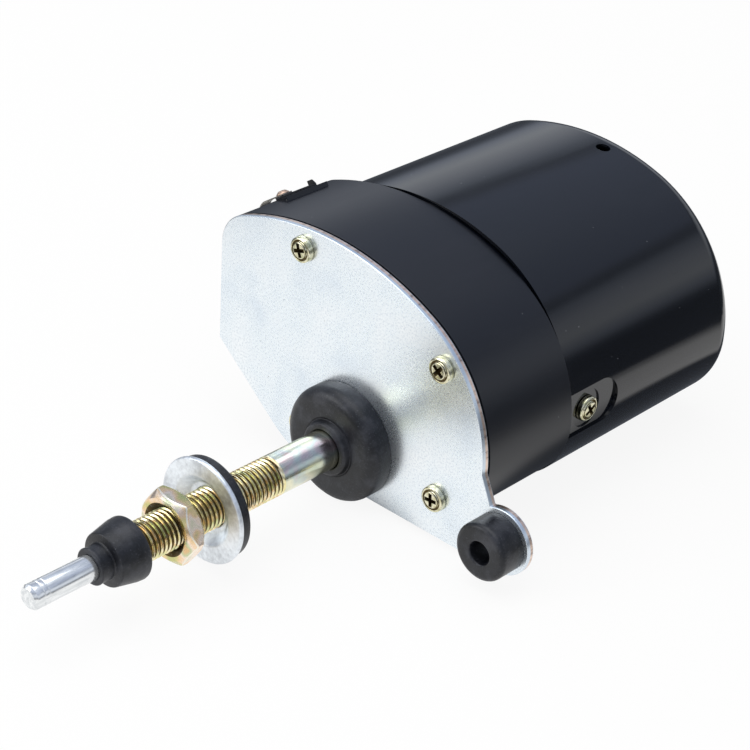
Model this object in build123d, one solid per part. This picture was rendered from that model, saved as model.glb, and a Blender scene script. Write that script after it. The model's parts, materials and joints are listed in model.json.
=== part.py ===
"""Wiper motor with a parallel output shaft: a drawn can with the motor in it, a gear housing
with a crank and rocker, and a zinc plate that carries the threaded neck.

Frame: millimetres, +Z up. The output shaft lies on the Y axis and points to -Y. The origin is
on that axis, in the front face of the plate, so the gear housing and the can are at +Y.
"""
from build123d import *
import math
import os

# ---------------------------------------------------------------- body outline, seen along +Y
body_left = -44.5          # flat left side
side_r = 36.0              # right flank
side_x = 5.9
side_z = 9.5
crown_r = 73.8             # long flat arc on top
crown_start = 62.7         # where the flank hands over to the crown, degrees
keel_r = 19.0              # lower right corner
plate_shoulder_r = 10.0    # upper left corner of the plate and the gear housing
can_left = -43.5           # the can is drawn to arcs of its own, rounder at both left corners
can_side_r = 40.4
can_side_x = 0.6
can_side_z = 8.5
can_crown_r = 65.1
can_crown_start = 70.3
can_keel_r = 20.0
can_shoulder_r = 22.8
bilge_top = 11.5           # where the left side turns into the lower left slope
bilge_end = -14.0          # where that slope meets the bottom
bilge_round = 14.0

# ---------------------------------------------------------------- depths along Y
plate_t = 2.0
gasket_t = 0.5
housing_depth = 29.5
partition_t = 2.5
housing_wall = 1.8
can_gap = 0.6
can_length = 67.7
can_wall = 1.0
can_edge_r = 6.5
vent_x = 0.0
vent_inset = 9.4           # from the can's closed end
vent_r = 1.9
spigot_depth = 2.2
spigot_t = 1.6

# ---------------------------------------------------------------- plate ear
ear_x = 48.6
ear_z = -4.9
ear_r = 8.4
ear_blend = 7.5
plate_slope_x = -27.6      # a point on the plate's lower left edge
plate_slope_z = -4.7
plate_left_low = 9.0
plate_corner_r = 30.0

# ---------------------------------------------------------------- output shaft and neck
shaft_r = 3.0
shaft_free = 24.0          # how far the shaft stands out of the neck
shaft_tip_chamfer = 0.6
journal_cut = 0.2          # the shaft is turned down this much inside the neck
running = 0.03             # radial clearance of a shaft in its bush
neck_len = 72.0
neck_r = 4.95              # crest of the thread, nominal 10 mm
neck_bore = 3.6
neck_flange_r = 7.0
neck_flange_t = 0.6
neck_bush_len = 14.0
seal_r = 14.7
seal_depth = 6.2
seal_round = 3.4
seal_collar_r = 6.4
seal_collar_depth = 8.0
boot_grip = 4.0            # of the neck's length, under the boot
boot_back_r = 7.6
boot_nose = 3.5            # in front of the neck's end
boot_front_r = 6.3
boot_collar_r = 4.4
boot_collar_len = 3.7
nut_flats = 17.0
nut_t = 5.6
nut_back = 52.9
nut_turn = -4.0            # how the hexagon happens to stand, degrees
washer_r = 13.0
washer_t = 1.2
washer_front = 47.0
dish_r = 8.8
dish_floor_r = 6.4
dish_depth = 2.6
rubber_r = 12.4
rubber_t = 2.6
grommet_r = 7.2
grommet_front = 7.2
grommet_back = 1.8
grommet_back_r = 6.4
grommet_bore = 2.9
grommet_seat = 4.6         # hole in the ear

# ---------------------------------------------------------------- screws
crown_screw_inset = 5.3    # plate screws, from the outline's arcs and corners
crown_screw_bearing = 94.4
flank_screw_inset = 4.95
flank_screw_bearing = 44.6
keel_screw_inset = 5.4
keel_screw_bearing = -63.8
bilge_screw_back = 0.8
bilge_screw_rise = 7.0
screw_r = 1.75
screw_head_r = 3.3
screw_head_t = 1.9
screw_play = 0.2
plate_screw_len = 9.0
screw_boss_r = 3.8
screw_boss_end = 11.0      # stops short of the crank gear
can_screw_y = 39.7
can_screw_z = 10.9          # on the right; the left flat sits higher
left_screw_z = 27.0
can_screw_len = 5.5
pocket_depth = 0.9
pocket_r = 5.8
pocket_past = 5.6          # centre of the pocket's round end, behind the screw
pocket_reach = 6.0         # how far the pocket's cutter stands out of the can
seat_r = 5.0               # shallow round seat for the screw's head
seat_depth = 0.4
lug_w = 10.0
lug_t = 4.6

# ---------------------------------------------------------------- gear train
mod_first = 0.6
mod_second = 0.8
mod_third = 1.0
pinion_teeth = 10
first_teeth = 40
second_teeth = 36
crank_teeth = 36
output_teeth = 12
sector_teeth = 24          # as if it went all the way round
pinion_shift = 0.5         # addendum modification, so the small pinions aren't undercut
output_shift = 0.3
backlash = 0.06            # per flank
armature_x = -2.0
armature_z = 19.5
crank_x = 13.0
crank_z = 20.5
idler_bearing = 165.0      # direction of the second idler seen from the crank gear, degrees
sector_bearing = 125.0     # direction of the sector's stud seen from the output shaft, degrees
sweep = 105.0              # of the output shaft
rocker_r = 16.0
crank_stud_r = 2.5
second_stud_r = 2.0
first_stud_r = 1.5
sector_stud_r = 2.5
link_pin_r = 2.0
link_eye_r = 4.0
link_w = 5.0
clip_t = 0.45
clip_bite = 0.4            # depth of the output shaft's groove for its snap ring
pivot_play = 0.04
pivot_gap = 0.3            # the opened pivot: the rocker pin stops this far from the rod

sector_y0 = plate_t + 0.9
sector_t = 4.5
rod_y0 = 8.4
rod_t = 1.8
crank_y0 = 11.5
crank_t = 5.0
second_y0 = crank_y0 + crank_t + 0.7
second_t = 2.6
first_y0 = second_y0 + second_t + 0.7
first_t = 3.0
boss_face = 27.0           # front of the stud bosses on the partition
hub_gap = 0.15

# ---------------------------------------------------------------- motor
armature_shaft_r = 2.5
pinion_journal_r = 1.5
bush_r = 5.0
bush_boss_r = 6.2
bush_len = 7.0
yoke_t = 1.7
yoke_overhang = 6.0        # past the core at each end
magnet_overhang = 3.0
magnet_t = 5.2
magnet_span = 128.0
air_gap = 0.7
motor_ends = 36.2          # of the can's length: commutator, end turns and rear bush
slots = 10
slot_share = 0.44          # of the core's radius
slot_w = 4.6
slot_mouth = 1.6
comm_r = 8.0
comm_len = 10.0
comm_y0 = 35.2
riser_r = 9.6
riser_t = 2.2
winding_gap = 0.6
end_turn_step = 2.85       # end turns, below the core's outside
end_turn_t = 5.6
brush_plate_t = 1.6
brush_w = 5.0
spring_room = 5.8
brush_h = 7.0
holder_wall = 0.7
holder_inset = 2.35        # inside the yoke's outside
carrier_r = 13.0
carrier_t = 1.2
thrust_t = 0.8

# ---------------------------------------------------------------- terminals
strip_bearing = 124.4      # outward direction of the strip's seat, degrees
strip_seat = 0.05          # how far the seat stands proud of the shoulder
strip_y0 = 13.2
strip_len = 13.0
strip_w = 11.0
strip_t = 0.6
strip_lip = 1.6
strip_lip_w = 2.4
rivet_from_end = 3.4
blade_w = 4.8
blade_t = 0.8
blade_len = 12.0
rivet_head_r = 1.7
rivet_head_t = 0.7
rivet_r = 1.0
rivet_depth = 1.5
rivet_gap = 0.1
blade_eye_r = 0.9

journal_r = shaft_r - journal_cut
shaft_tip = neck_len + shaft_free
boot_back = neck_len - boot_grip
boot_front = neck_len + boot_nose
boot_collar_end = boot_front + boot_collar_len
housing_y0 = plate_t + gasket_t
housing_y1 = housing_y0 + housing_depth
partition_y0 = housing_y1 - partition_t
can_y0 = housing_y1 + can_gap
can_y1 = can_y0 + can_length
body_right = side_x + side_r
body_bottom = side_z - keel_r
can_right = can_side_x + can_side_r
can_bottom = can_side_z - can_keel_r
plate_bottom = ear_z - ear_r


# ---------------------------------------------------------------- small helpers
def polar(radius, angle, centre=(0, 0)):
    """A point at a distance and an angle in degrees from a centre."""
    turn = math.radians(angle)
    return (centre[0] + radius * math.cos(turn), centre[1] + radius * math.sin(turn))


def bearing(start, end):
    """Direction from one point to another, in degrees."""
    return math.degrees(math.atan2(end[1] - start[1], end[0] - start[0]))


def slab(face, y0, y1):
    """Extrude a face drawn in (x, z) from y0 to y1."""
    plane = Plane(origin=(0, y1, 0), x_dir=(1, 0, 0), z_dir=(0, -1, 0))
    return extrude(plane * face, amount=y1 - y0)


def disc(radius, y0, y1, at=(0, 0)):
    """A cylinder along Y."""
    return slab(Pos(at[0], at[1]) * Circle(radius), y0, y1)


def turned(points, at=(0, 0)):
    """Revolve a closed (radius, y) outline about a line along Y."""
    face = make_face(Polyline(*points, close=True))
    return Pos(at[0], 0, at[1]) * revolve(face, Axis.Y)


def tube(outer, inner, y0, y1, at=(0, 0)):
    """A round tube along Y."""
    return slab(Pos(at[0], at[1]) * (Circle(outer) - Circle(inner)), y0, y1)


def joined(pieces):
    """Fuse a list of solids into one."""
    whole = pieces[0]
    for piece in pieces[1:]:
        whole = whole + piece
    return whole


def save(name, shape):
    """Write one sub-part, or a group of equal ones, to its own file."""
    export_step(shape, f"parts/{name}.step")


# ---------------------------------------------------------------- body outline
crown_at = polar(side_r - crown_r, crown_start, (side_x, side_z))
can_crown_at = polar(can_side_r - can_crown_r, can_crown_start, (can_side_x, can_side_z))
keel_at = (body_right - keel_r, side_z)
plate_screws_at = [
    polar(crown_r - crown_screw_inset, crown_screw_bearing, crown_at),
    polar(side_r - flank_screw_inset, flank_screw_bearing, (side_x, side_z)),
    polar(keel_r - keel_screw_inset, keel_screw_bearing, keel_at),
    (bilge_end - bilge_screw_back, body_bottom + bilge_screw_rise)]


def shoulder_at(left, shoulder_r, crown, crown_centre):
    """Centre of the upper left corner's arc, which runs into the crown."""
    centre_x = left + shoulder_r
    reach = crown - shoulder_r
    rise = math.sqrt(reach**2 - (centre_x - crown_centre[0])**2)
    return (centre_x, crown_centre[1] + rise)


def body_face(left, shoulder_r, side, side_at, crown, start, keel, inset=0.0):
    """A cross-section of the body: flank, crown, shoulder, flat left side, slope and keel."""
    crown_centre = polar(side - crown, start, side_at)
    shoulder_x, shoulder_z = shoulder_at(left, shoulder_r, crown, crown_centre)
    lean = bearing(crown_centre, (shoulder_x, shoulder_z))
    right = (side_at[0] + side, side_at[1])
    bottom = side_at[1] - keel
    flank_end = polar(side, start, side_at)
    crown_end = polar(crown, lean, crown_centre)
    keel_start = (right[0] - keel, bottom)
    outline = [
        ThreePointArc(right, polar(side, start / 2, side_at), flank_end),
        ThreePointArc(flank_end, polar(crown, (start + lean) / 2, crown_centre), crown_end),
        ThreePointArc(crown_end, polar(shoulder_r, (lean + 180) / 2, (shoulder_x, shoulder_z)),
                      (left, shoulder_z)),
        Polyline((left, shoulder_z), (left, bilge_top), (bilge_end, bottom), keel_start),
        ThreePointArc(keel_start, polar(keel, -45, (right[0] - keel, side_at[1])), right),
    ]
    face = make_face(outline)
    corners = [v for v in face.vertices() if abs(v.Y - bilge_top) < 0.01 and v.X < 0]
    corners += [v for v in face.vertices() if abs(v.X - bilge_end) < 0.01 and v.Y < 0]
    face = fillet(corners, bilge_round)
    if inset:
        face = offset(face, amount=-inset)
    return face


def housing_face(inset=0.0):
    return body_face(body_left, plate_shoulder_r, side_r, (side_x, side_z), crown_r, crown_start,
                     keel_r, inset)


def can_face(inset=0.0):
    return body_face(can_left, can_shoulder_r, can_side_r, (can_side_x, can_side_z), can_crown_r,
                     can_crown_start, can_keel_r, inset)


# ---------------------------------------------------------------- gears
def involute(base, radius):
    """Polar angle, in radians, that the involute has turned at a radius."""
    ratio = math.sqrt(max((radius / base)**2 - 1, 0))
    return ratio - math.atan(ratio)


def tooth_flank(module, teeth, shift, outer):
    """Half angle of a tooth, in degrees, at four radii from the root to the tip."""
    pressure = math.radians(20)
    pitch = module * teeth / 2
    base = pitch * math.cos(pressure)
    root = pitch - module * (1.25 - shift)
    thick = module * (math.pi / 2 + 2 * shift * math.tan(pressure)) - 2 * backlash
    half = thick / 2 / pitch + involute(base, pitch)
    start = max(root, base)
    radii = [start, (start + pitch) / 2, pitch, (pitch + outer) / 2, outer]
    flank = [(r, math.degrees(half - involute(base, r))) for r in radii]
    if root < start:
        flank.insert(0, (root, flank[0][1]))
    return flank


def gear_face(module, teeth, shift, addendum, phase, count=None):
    """A spur gear's face with one tooth at the phase angle, or a run of teeth centred on it."""
    pitch = module * teeth / 2
    outer = pitch + module * (addendum + shift)
    flank = tooth_flank(module, teeth, shift, outer)
    number = count or teeth
    first = -(number - 1) / 2 if count else 0
    points = []
    for index in range(number):
        middle = phase + 360 / teeth * (first + index)
        points += [polar(r, middle - half) for r, half in flank]
        points += [polar(r, middle + half) for r, half in reversed(flank)]
    if count:
        points.append((0, 0))
    return make_face(Polyline(*points, close=True))


output_at = (0, 0)
armature_at = (armature_x, armature_z)
crank_at = (crank_x, crank_z)
third_centres = mod_third * (pinion_teeth + crank_teeth) / 2
second_centres = mod_second * (pinion_teeth + second_teeth) / 2
first_centres = mod_first * (pinion_teeth + first_teeth) / 2
sector_centres = mod_third * (output_teeth + sector_teeth) / 2
second_at = polar(third_centres, idler_bearing, crank_at)
sector_at = polar(sector_centres, sector_bearing)


def third_corner(start, start_side, end, end_side):
    """The corner of a triangle on the left of the line from start to end."""
    base = math.dist(start, end)
    along = (start_side**2 - end_side**2 + base**2) / (2 * base)
    rise = math.sqrt(start_side**2 - along**2)
    lean = bearing(start, end)
    foot = polar(along, lean, start)
    return polar(rise, lean - 90, foot)


first_at = third_corner(second_at, second_centres, armature_at, first_centres)

# The rocker stands square to the rod in mid sweep, and swings half the output's sweep because
# the sector has twice the output pinion's teeth.
rocker_swing = sweep * output_teeth / sector_teeth
ground = math.dist(sector_at, crank_at)
ground_lean = bearing(sector_at, crank_at)
rocker_lean = ground_lean + math.degrees(math.acos(rocker_r / ground))


def reach_at(angle):
    """Distance from the crank gear's centre to the rocker pin for a rocker angle."""
    return math.dist(crank_at, polar(rocker_r, angle, sector_at))


rod_long = reach_at(rocker_lean + rocker_swing / 2)
rod_short = reach_at(rocker_lean - rocker_swing / 2)
rod_length = (rod_long + rod_short) / 2
crank_throw = (rod_long - rod_short) / 2
rocker_pin_at = polar(rocker_r, rocker_lean, sector_at)
crank_pin_at = third_corner(crank_at, crank_throw, rocker_pin_at, rod_length)
if crank_pin_at[1] < crank_z:
    crank_pin_at = third_corner(rocker_pin_at, rod_length, crank_at, crank_throw)


# ---------------------------------------------------------------- plate, gasket, housing, can
def plate_face():
    """The housing's outline with a straight lower edge that runs out into the ear."""
    slope = (plate_slope_z - plate_left_low) / (plate_slope_x - body_left)
    corner_x = plate_slope_x + (plate_bottom - plate_slope_z) / slope
    shoulder = shoulder_at(body_left, plate_shoulder_r, crown_r, crown_at)
    skirt = make_face(Polyline(
        (body_left, plate_left_low), (corner_x, plate_bottom), (ear_x, plate_bottom),
        (ear_x, ear_z), (body_right, side_z), shoulder, (body_left, shoulder[1]), close=True))
    whole = housing_face() + skirt + Pos(ear_x, ear_z) * Circle(ear_r)
    low = [v for v in whole.vertices() if math.dist((v.X, v.Y), (corner_x, plate_bottom)) < 0.1]
    whole = fillet(low, plate_corner_r)
    return whole


def front_plate():
    plate = slab(plate_face(), 0, plate_t)
    plate -= disc(neck_r, -1, plate_t + 1)
    plate -= disc(grommet_seat, -1, plate_t + 1, (ear_x, ear_z))
    for at in plate_screws_at:
        plate -= disc(screw_r + screw_play, -1, plate_t + 1, at)
    return plate


def gasket():
    ring = housing_face(0.45) - housing_face(housing_wall + 0.4)
    lip = housing_face(0.45)
    for at in plate_screws_at:
        ring += Pos(*at) * Circle(screw_boss_r) & lip
    for at in plate_screws_at:
        ring -= Pos(*at) * Circle(screw_r + screw_play)
    return slab(ring, plate_t, housing_y0)


def gear_housing():
    shell = slab(housing_face(), housing_y0, housing_y1)
    cavity = slab(housing_face(housing_wall), housing_y0 - 1, partition_y0)
    body = shell - cavity
    keep = slab(housing_face(housing_wall / 2), housing_y0, housing_y1)
    for at in plate_screws_at:
        body += disc(screw_boss_r, housing_y0, screw_boss_end, at) & keep
    for at, stud in stud_places():
        body += disc(stud + 2.6, boss_face, partition_y0 + 1, at)
    body += disc(bush_boss_r, bush_y0, partition_y0 + 1, armature_at)
    ring = can_face(can_wall + 0.05) & housing_face(can_wall / 4)
    ring = ring - can_face(can_wall + 0.05 + spigot_t)
    spigot = slab(ring, housing_y1 - 1, can_y0 + spigot_depth)
    for sign, face_x, face_z in screw_flats():
        back = face_x - sign * (can_wall + 0.05)
        spigot -= pocket(sign, back, face_z, pocket_r + can_wall + 0.05, housing_y1)
        spigot -= seat_cut(sign, back - sign * seat_depth, face_z, seat_r + can_wall + 0.05)
    body += spigot
    for sign, face_x, face_z in screw_flats():
        lug = Box(lug_t, can_screw_y + lug_w / 2 - housing_y1 + 1, lug_w)
        middle = (housing_y1 - 1 + can_screw_y + lug_w / 2) / 2
        inside = face_x - sign * (seat_depth + can_wall + 0.05 + lug_t / 2)
        body += Pos(inside, middle, face_z) * lug
        hole = Cylinder(screw_r, 4 * lug_t, rotation=(0, 90, 0))
        body -= Pos(inside, can_screw_y, face_z) * hole
    for at in plate_screws_at:
        body -= disc(screw_r, housing_y0 - 1, plate_screw_len + 0.6, at)
    for at, stud in stud_places():
        body -= disc(stud, boss_face - 1, housing_y1 - 1, at)
    body -= disc(bush_r, bush_y0 - 1, bush_y0 + bush_len, armature_at)
    body -= disc(armature_shaft_r + 0.6, bush_y0, housing_y1 + 1, armature_at)
    body += terminal_pad()
    rivet_hole = Cylinder(rivet_r, 2 * rivet_depth)
    body -= strip_place(strip_y0) * Pos(rivet_from_end, 0, 0) * rivet_hole
    return body


def stud_places():
    """Where the studs stand in the partition, and their radii."""
    return [(crank_at, crank_stud_r), (second_at, second_stud_r), (first_at, first_stud_r)]


def screw_flats():
    """The two pressed flats of the can: outward sign, the X of the flat and its height."""
    return [(1, can_right - pocket_depth, can_screw_z),
            (-1, can_left + pocket_depth, left_screw_z)]


def pocket(sign, face_x, face_z, radius, start):
    """The space outside a pressed flat: open at the rim and round at its far end."""
    end = Cylinder(radius, pocket_reach, rotation=(0, 90, 0))
    end_y = can_screw_y + pocket_past
    run = end_y - start
    mouth = Box(pocket_reach, run, 2 * radius)
    middle = face_x + sign * pocket_reach / 2
    return Pos(middle, end_y, face_z) * end + Pos(middle, end_y - run / 2, face_z) * mouth


def seat_cut(sign, floor_x, face_z, radius):
    """The space over the round seat in a pressed flat."""
    cut = Cylinder(radius, pocket_reach, rotation=(0, 90, 0))
    return Pos(floor_x + sign * pocket_reach / 2, can_screw_y, face_z) * cut


def motor_can():
    outer = slab(can_face(), can_y0, can_y1)
    rear = outer.faces().sort_by(Axis.Y)[-1]
    outer = fillet(rear.edges(), can_edge_r)
    inner = slab(can_face(can_wall), can_y0 - 1, can_y1 - can_wall)
    rear = inner.faces().sort_by(Axis.Y)[-1]
    inner = fillet(rear.edges(), can_edge_r - can_wall)
    for sign, face_x, face_z in screw_flats():
        floor_x = face_x - sign * seat_depth
        outer -= pocket(sign, face_x, face_z, pocket_r, can_y0 - 1)
        outer -= seat_cut(sign, floor_x, face_z, seat_r)
        inner -= pocket(sign, face_x - sign * can_wall, face_z, pocket_r + can_wall, can_y0 - 2)
        inner -= seat_cut(sign, floor_x - sign * can_wall, face_z, seat_r + can_wall)
    can = outer - inner
    for sign, face_x, face_z in screw_flats():
        hole = Cylinder(screw_r + screw_play, 6 * can_wall, rotation=(0, 90, 0))
        can -= Pos(face_x, can_screw_y, face_z) * hole
    vent = Cylinder(vent_r, 12 * can_wall)
    return can - Pos(vent_x, can_y1 - vent_inset, can_crown_at[1] + can_crown_r) * vent


# ---------------------------------------------------------------- neck and what is on it
def neck_tube():
    tube_body = turned([
        (neck_bore, plate_t + neck_flange_t), (neck_flange_r, plate_t + neck_flange_t),
        (neck_flange_r, plate_t), (neck_r, plate_t), (neck_r, -neck_len + 0.8),
        (neck_r - 0.8, -neck_len), (neck_bore, -neck_len)])
    return tube_body


def neck_bushes():
    rear = tube(neck_bore, journal_r + running, plate_t + neck_flange_t - neck_bush_len,
                plate_t + neck_flange_t)
    front = tube(neck_bore, journal_r + running, -neck_len, -neck_len + neck_bush_len)
    return Compound(children=[rear, front])


def neck_seal():
    """Rubber dome with a raised collar round the neck."""
    outline = [
        Line((neck_r, 0), (seal_r, 0)),
        Line((seal_r, 0), (seal_r, -seal_depth + seal_round)),
        TangentArc((seal_r, -seal_depth + seal_round), (seal_r - seal_round, -seal_depth),
                   tangent=(0, -1)),
        Line((seal_r - seal_round, -seal_depth), (seal_collar_r + 2, -seal_depth)),
        Line((seal_collar_r + 2, -seal_depth), (seal_collar_r, -seal_depth + 0.6)),
        Line((seal_collar_r, -seal_depth + 0.6), (seal_collar_r, -seal_collar_depth + 0.6)),
        Line((seal_collar_r, -seal_collar_depth + 0.6), (seal_collar_r - 0.6, -seal_collar_depth)),
        Line((seal_collar_r - 0.6, -seal_collar_depth), (neck_r, -seal_collar_depth)),
        Line((neck_r, -seal_collar_depth), (neck_r, 0)),
    ]
    seal = revolve(make_face(outline), Axis.Y)
    for at in plate_screws_at:
        if math.hypot(*at) < seal_r + screw_head_r:
            seal -= disc(screw_head_r + 0.3, -screw_head_t - 0.4, 1, at)
    return seal


def rubber_washer():
    back = washer_back - rubber_t
    return tube(rubber_r, dish_r + 0.2, -washer_back, -back)


washer_back = washer_front - washer_t


def cup_washer():
    """Steel washer with a rolled rim and a dish that opens to the front."""
    front = -washer_front
    floor = front + dish_depth
    return turned([
        (washer_r, front + 0.4), (washer_r, front + washer_t), (dish_r, front + washer_t),
        (dish_floor_r + 0.5, floor + washer_t), (neck_r, floor + washer_t), (neck_r, floor),
        (dish_floor_r, floor), (dish_r, front), (washer_r - 0.5, front)])


def hex_nut():
    corner_r = nut_flats / math.sqrt(3)
    blank = Rot(0, 0, nut_turn) * RegularPolygon(corner_r, 6)
    nut = slab(blank, -nut_back - nut_t, -nut_back)
    edge = (corner_r - nut_flats / 2 + 0.5) * math.tan(math.radians(30))
    cone = turned([
        (0, -nut_back), (nut_flats / 2 - 0.5, -nut_back), (corner_r, -nut_back - edge),
        (corner_r, -nut_back - nut_t + edge), (nut_flats / 2 - 0.5, -nut_back - nut_t),
        (0, -nut_back - nut_t)])
    nut = nut & cone
    return nut - disc(neck_r, -nut_back - nut_t - 1, -nut_back + 1)


def shaft_boot():
    """Rubber boot over the end of the neck, with a lip that the shaft turns in."""
    return turned([
        (neck_r, -boot_back), (boot_back_r - 0.4, -boot_back), (boot_back_r, -boot_back - 0.6),
        (boot_back_r - 0.1, -boot_back - 2.2), (boot_front_r, -boot_front + 0.3),
        (boot_front_r - 0.3, -boot_front), (boot_collar_r, -boot_front),
        (boot_collar_r, -boot_collar_end + 0.4), (boot_collar_r - 0.4, -boot_collar_end),
        (journal_r + running, -boot_collar_end), (journal_r + running, -neck_len - clip_t - 0.6),
        (neck_r, -neck_len - clip_t - 0.6)])


def ear_grommet():
    seat = grommet_seat
    return turned([
        (grommet_bore, -grommet_front), (grommet_r - 1.2, -grommet_front),
        (grommet_r - 0.35, -grommet_front + 0.35), (grommet_r, -grommet_front + 1.2),
        (grommet_r, 0), (seat, 0), (seat, plate_t), (grommet_back_r, plate_t),
        (grommet_back_r, plate_t + grommet_back - 0.5),
        (grommet_back_r - 0.5, plate_t + grommet_back),
        (grommet_bore, plate_t + grommet_back)], (ear_x, ear_z))


def screw(length):
    """A pan-head screw that points to -Z, with the underside of its head at the origin."""
    edge = screw_head_t * 0.45
    outline = [(0, 0, -length), (screw_r, 0, -length), (screw_r, 0, 0), (screw_head_r, 0, 0),
               (screw_head_r, 0, screw_head_t - edge),
               (screw_head_r - 0.8 * edge, 0, screw_head_t - 0.25 * edge),
               (screw_head_r - 2 * edge, 0, screw_head_t), (0, 0, screw_head_t)]
    return revolve(make_face(Polyline(*outline, close=True)), Axis.Z)


def plate_screws():
    solids = []
    for at in plate_screws_at:
        solids.append(Pos(at[0], 0, at[1]) * Rot(90, 0, 0) * screw(plate_screw_len))
    return Compound(children=solids)


def can_screws():
    solids = []
    for sign, face_x, face_z in screw_flats():
        floor_x = face_x - sign * seat_depth
        turn = Rot(0, 90 * sign, 0)
        solids.append(Pos(floor_x, can_screw_y, face_z) * turn * screw(can_screw_len))
    return Compound(children=solids)


# ---------------------------------------------------------------- terminals on the shoulder
def strip_place(y):
    """Local axes on the strip's seat: x along +Y, y down the slope, z outwards."""
    turn = math.radians(strip_bearing)
    out = (math.cos(turn), 0, math.sin(turn))
    corner = shoulder_at(body_left, plate_shoulder_r, crown_r, crown_at)
    foot = polar(plate_shoulder_r + strip_seat, strip_bearing, corner)
    return Plane(origin=(foot[0], y, foot[1]), x_dir=(0, 1, 0), z_dir=out)


def terminal_pad():
    block = Box(strip_len + 1, strip_w, 5, align=(Align.MIN, Align.CENTER, Align.MAX))
    pad = strip_place(strip_y0 - 0.5) * block
    keep = slab(offset(housing_face(), amount=3), housing_y0, partition_y0)
    return (pad & keep) - slab(housing_face(housing_wall), housing_y0, partition_y0)


def terminal_strip():
    """Insulating strip with a bent-up tab at its far end, drawn from the side."""
    top = strip_t + strip_lip
    side = make_face(Polyline(
        (0, 0, 0), (strip_len, 0, 0), (strip_len, 0, strip_t), (strip_len - 0.5 * strip_lip_w, 0, top),
        (strip_len - 0.9 * strip_lip_w, 0, top), (strip_len - strip_lip_w, 0, strip_t),
        (0, 0, strip_t), close=True))
    strip = extrude(side, amount=strip_w / 2, both=True)
    strip -= Pos(rivet_from_end, 0, 0) * Cylinder(rivet_r, 6 * strip_t)
    return strip_place(strip_y0) * strip


def terminal_blade():
    """Flat tab for a push-on connector, which points down the slope of the shoulder."""
    blade = Box(blade_w, blade_len, blade_t, align=(Align.CENTER, Align.MIN, Align.MIN))
    blade = Pos(0, -blade_w / 2, 0) * blade
    blade -= Cylinder(rivet_r, 4 * blade_t)
    blade -= Pos(0, blade_len - blade_w, 0) * Cylinder(blade_eye_r, 4 * blade_t)
    return strip_place(strip_y0) * Pos(rivet_from_end, 0, strip_t) * blade


def terminal_rivet():
    head_z = strip_t + blade_t
    foot = -head_z - rivet_depth + rivet_gap
    rivet = revolve(make_face(Polyline(
        (0, 0, foot), (rivet_r, 0, foot), (rivet_r, 0, 0), (rivet_head_r, 0, 0),
        (rivet_head_r, 0, rivet_head_t / 2), (rivet_head_r / 2, 0, rivet_head_t),
        (0, 0, rivet_head_t), close=True)), Axis.Z)
    return strip_place(strip_y0) * Pos(rivet_from_end, 0, head_z) * rivet


# ---------------------------------------------------------------- studs and clips
def stud(radius, at, y0):
    return disc(radius, y0, housing_y1 - 1.0, at)


def stud_clip(radius, y0, at):
    """A snap ring in front of a gear, open at one side."""
    ring = Circle(radius + 1.1) - Circle(radius)
    ring -= Pos(radius + 1, 0) * Rectangle(2 * radius, radius)
    return slab(Pos(*at) * ring, y0, y0 + clip_t)


crank_clip_y = crank_y0 - hub_gap - clip_t
second_clip_y = crank_clip_y
first_clip_y = second_y0 - hub_gap - clip_t
sector_clip_y = sector_y0 + sector_t + hub_gap / 2


def sector_stud():
    """Stud with a foot that is welded to the inside of the plate."""
    foot = disc(sector_stud_r + 2.2, plate_t, sector_y0 - hub_gap, sector_at)
    pin = disc(sector_stud_r, plate_t, sector_clip_y + clip_t, sector_at)
    return foot + pin


def stud_clips():
    return Compound(children=[
        stud_clip(crank_stud_r, crank_clip_y, crank_at),
        stud_clip(second_stud_r, second_clip_y, second_at),
        stud_clip(first_stud_r, first_clip_y, first_at),
        stud_clip(sector_stud_r, sector_clip_y, sector_at)])


# ---------------------------------------------------------------- gears in their places
def gap_phase(teeth, towards):
    """Phase that puts a gap, not a tooth, on the line towards another gear."""
    return towards + 180 / teeth


def pinion_face(module, towards):
    return gear_face(module, pinion_teeth, pinion_shift, 0.75, towards)


def wheel_face(module, teeth, towards):
    return gear_face(module, teeth, -pinion_shift, 1.0, gap_phase(teeth, towards))


def motor_pinion():
    face = pinion_face(mod_first, bearing(armature_at, first_at)) - Circle(pinion_journal_r)
    return slab(Pos(*armature_at) * face, first_y0, first_y0 + first_t + 0.3)


def first_idler_gear():
    face = wheel_face(mod_first, first_teeth, bearing(first_at, armature_at))
    face -= Circle(first_stud_r + pivot_play)
    gear = slab(Pos(*first_at) * face, first_y0, first_y0 + first_t)
    hub = tube(first_stud_r + 1.5, first_stud_r + pivot_play, first_y0 + first_t,
               boss_face - hub_gap, first_at)
    return gear + hub


def first_idler_pinion():
    face = pinion_face(mod_second, bearing(first_at, second_at))
    face -= Circle(first_stud_r + pivot_play)
    return slab(Pos(*first_at) * face, second_y0, first_y0)


def second_idler_gear():
    face = wheel_face(mod_second, second_teeth, bearing(second_at, first_at))
    face -= Circle(second_stud_r + pivot_play)
    gear = slab(Pos(*second_at) * face, second_y0, second_y0 + second_t)
    hub = tube(second_stud_r + 1.2, second_stud_r + pivot_play, second_y0 + second_t,
               boss_face - hub_gap, second_at)
    return gear + hub


def second_idler_pinion():
    face = pinion_face(mod_third, bearing(second_at, crank_at))
    face -= Circle(second_stud_r + pivot_play)
    return slab(Pos(*second_at) * face, crank_y0, second_y0)


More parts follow.
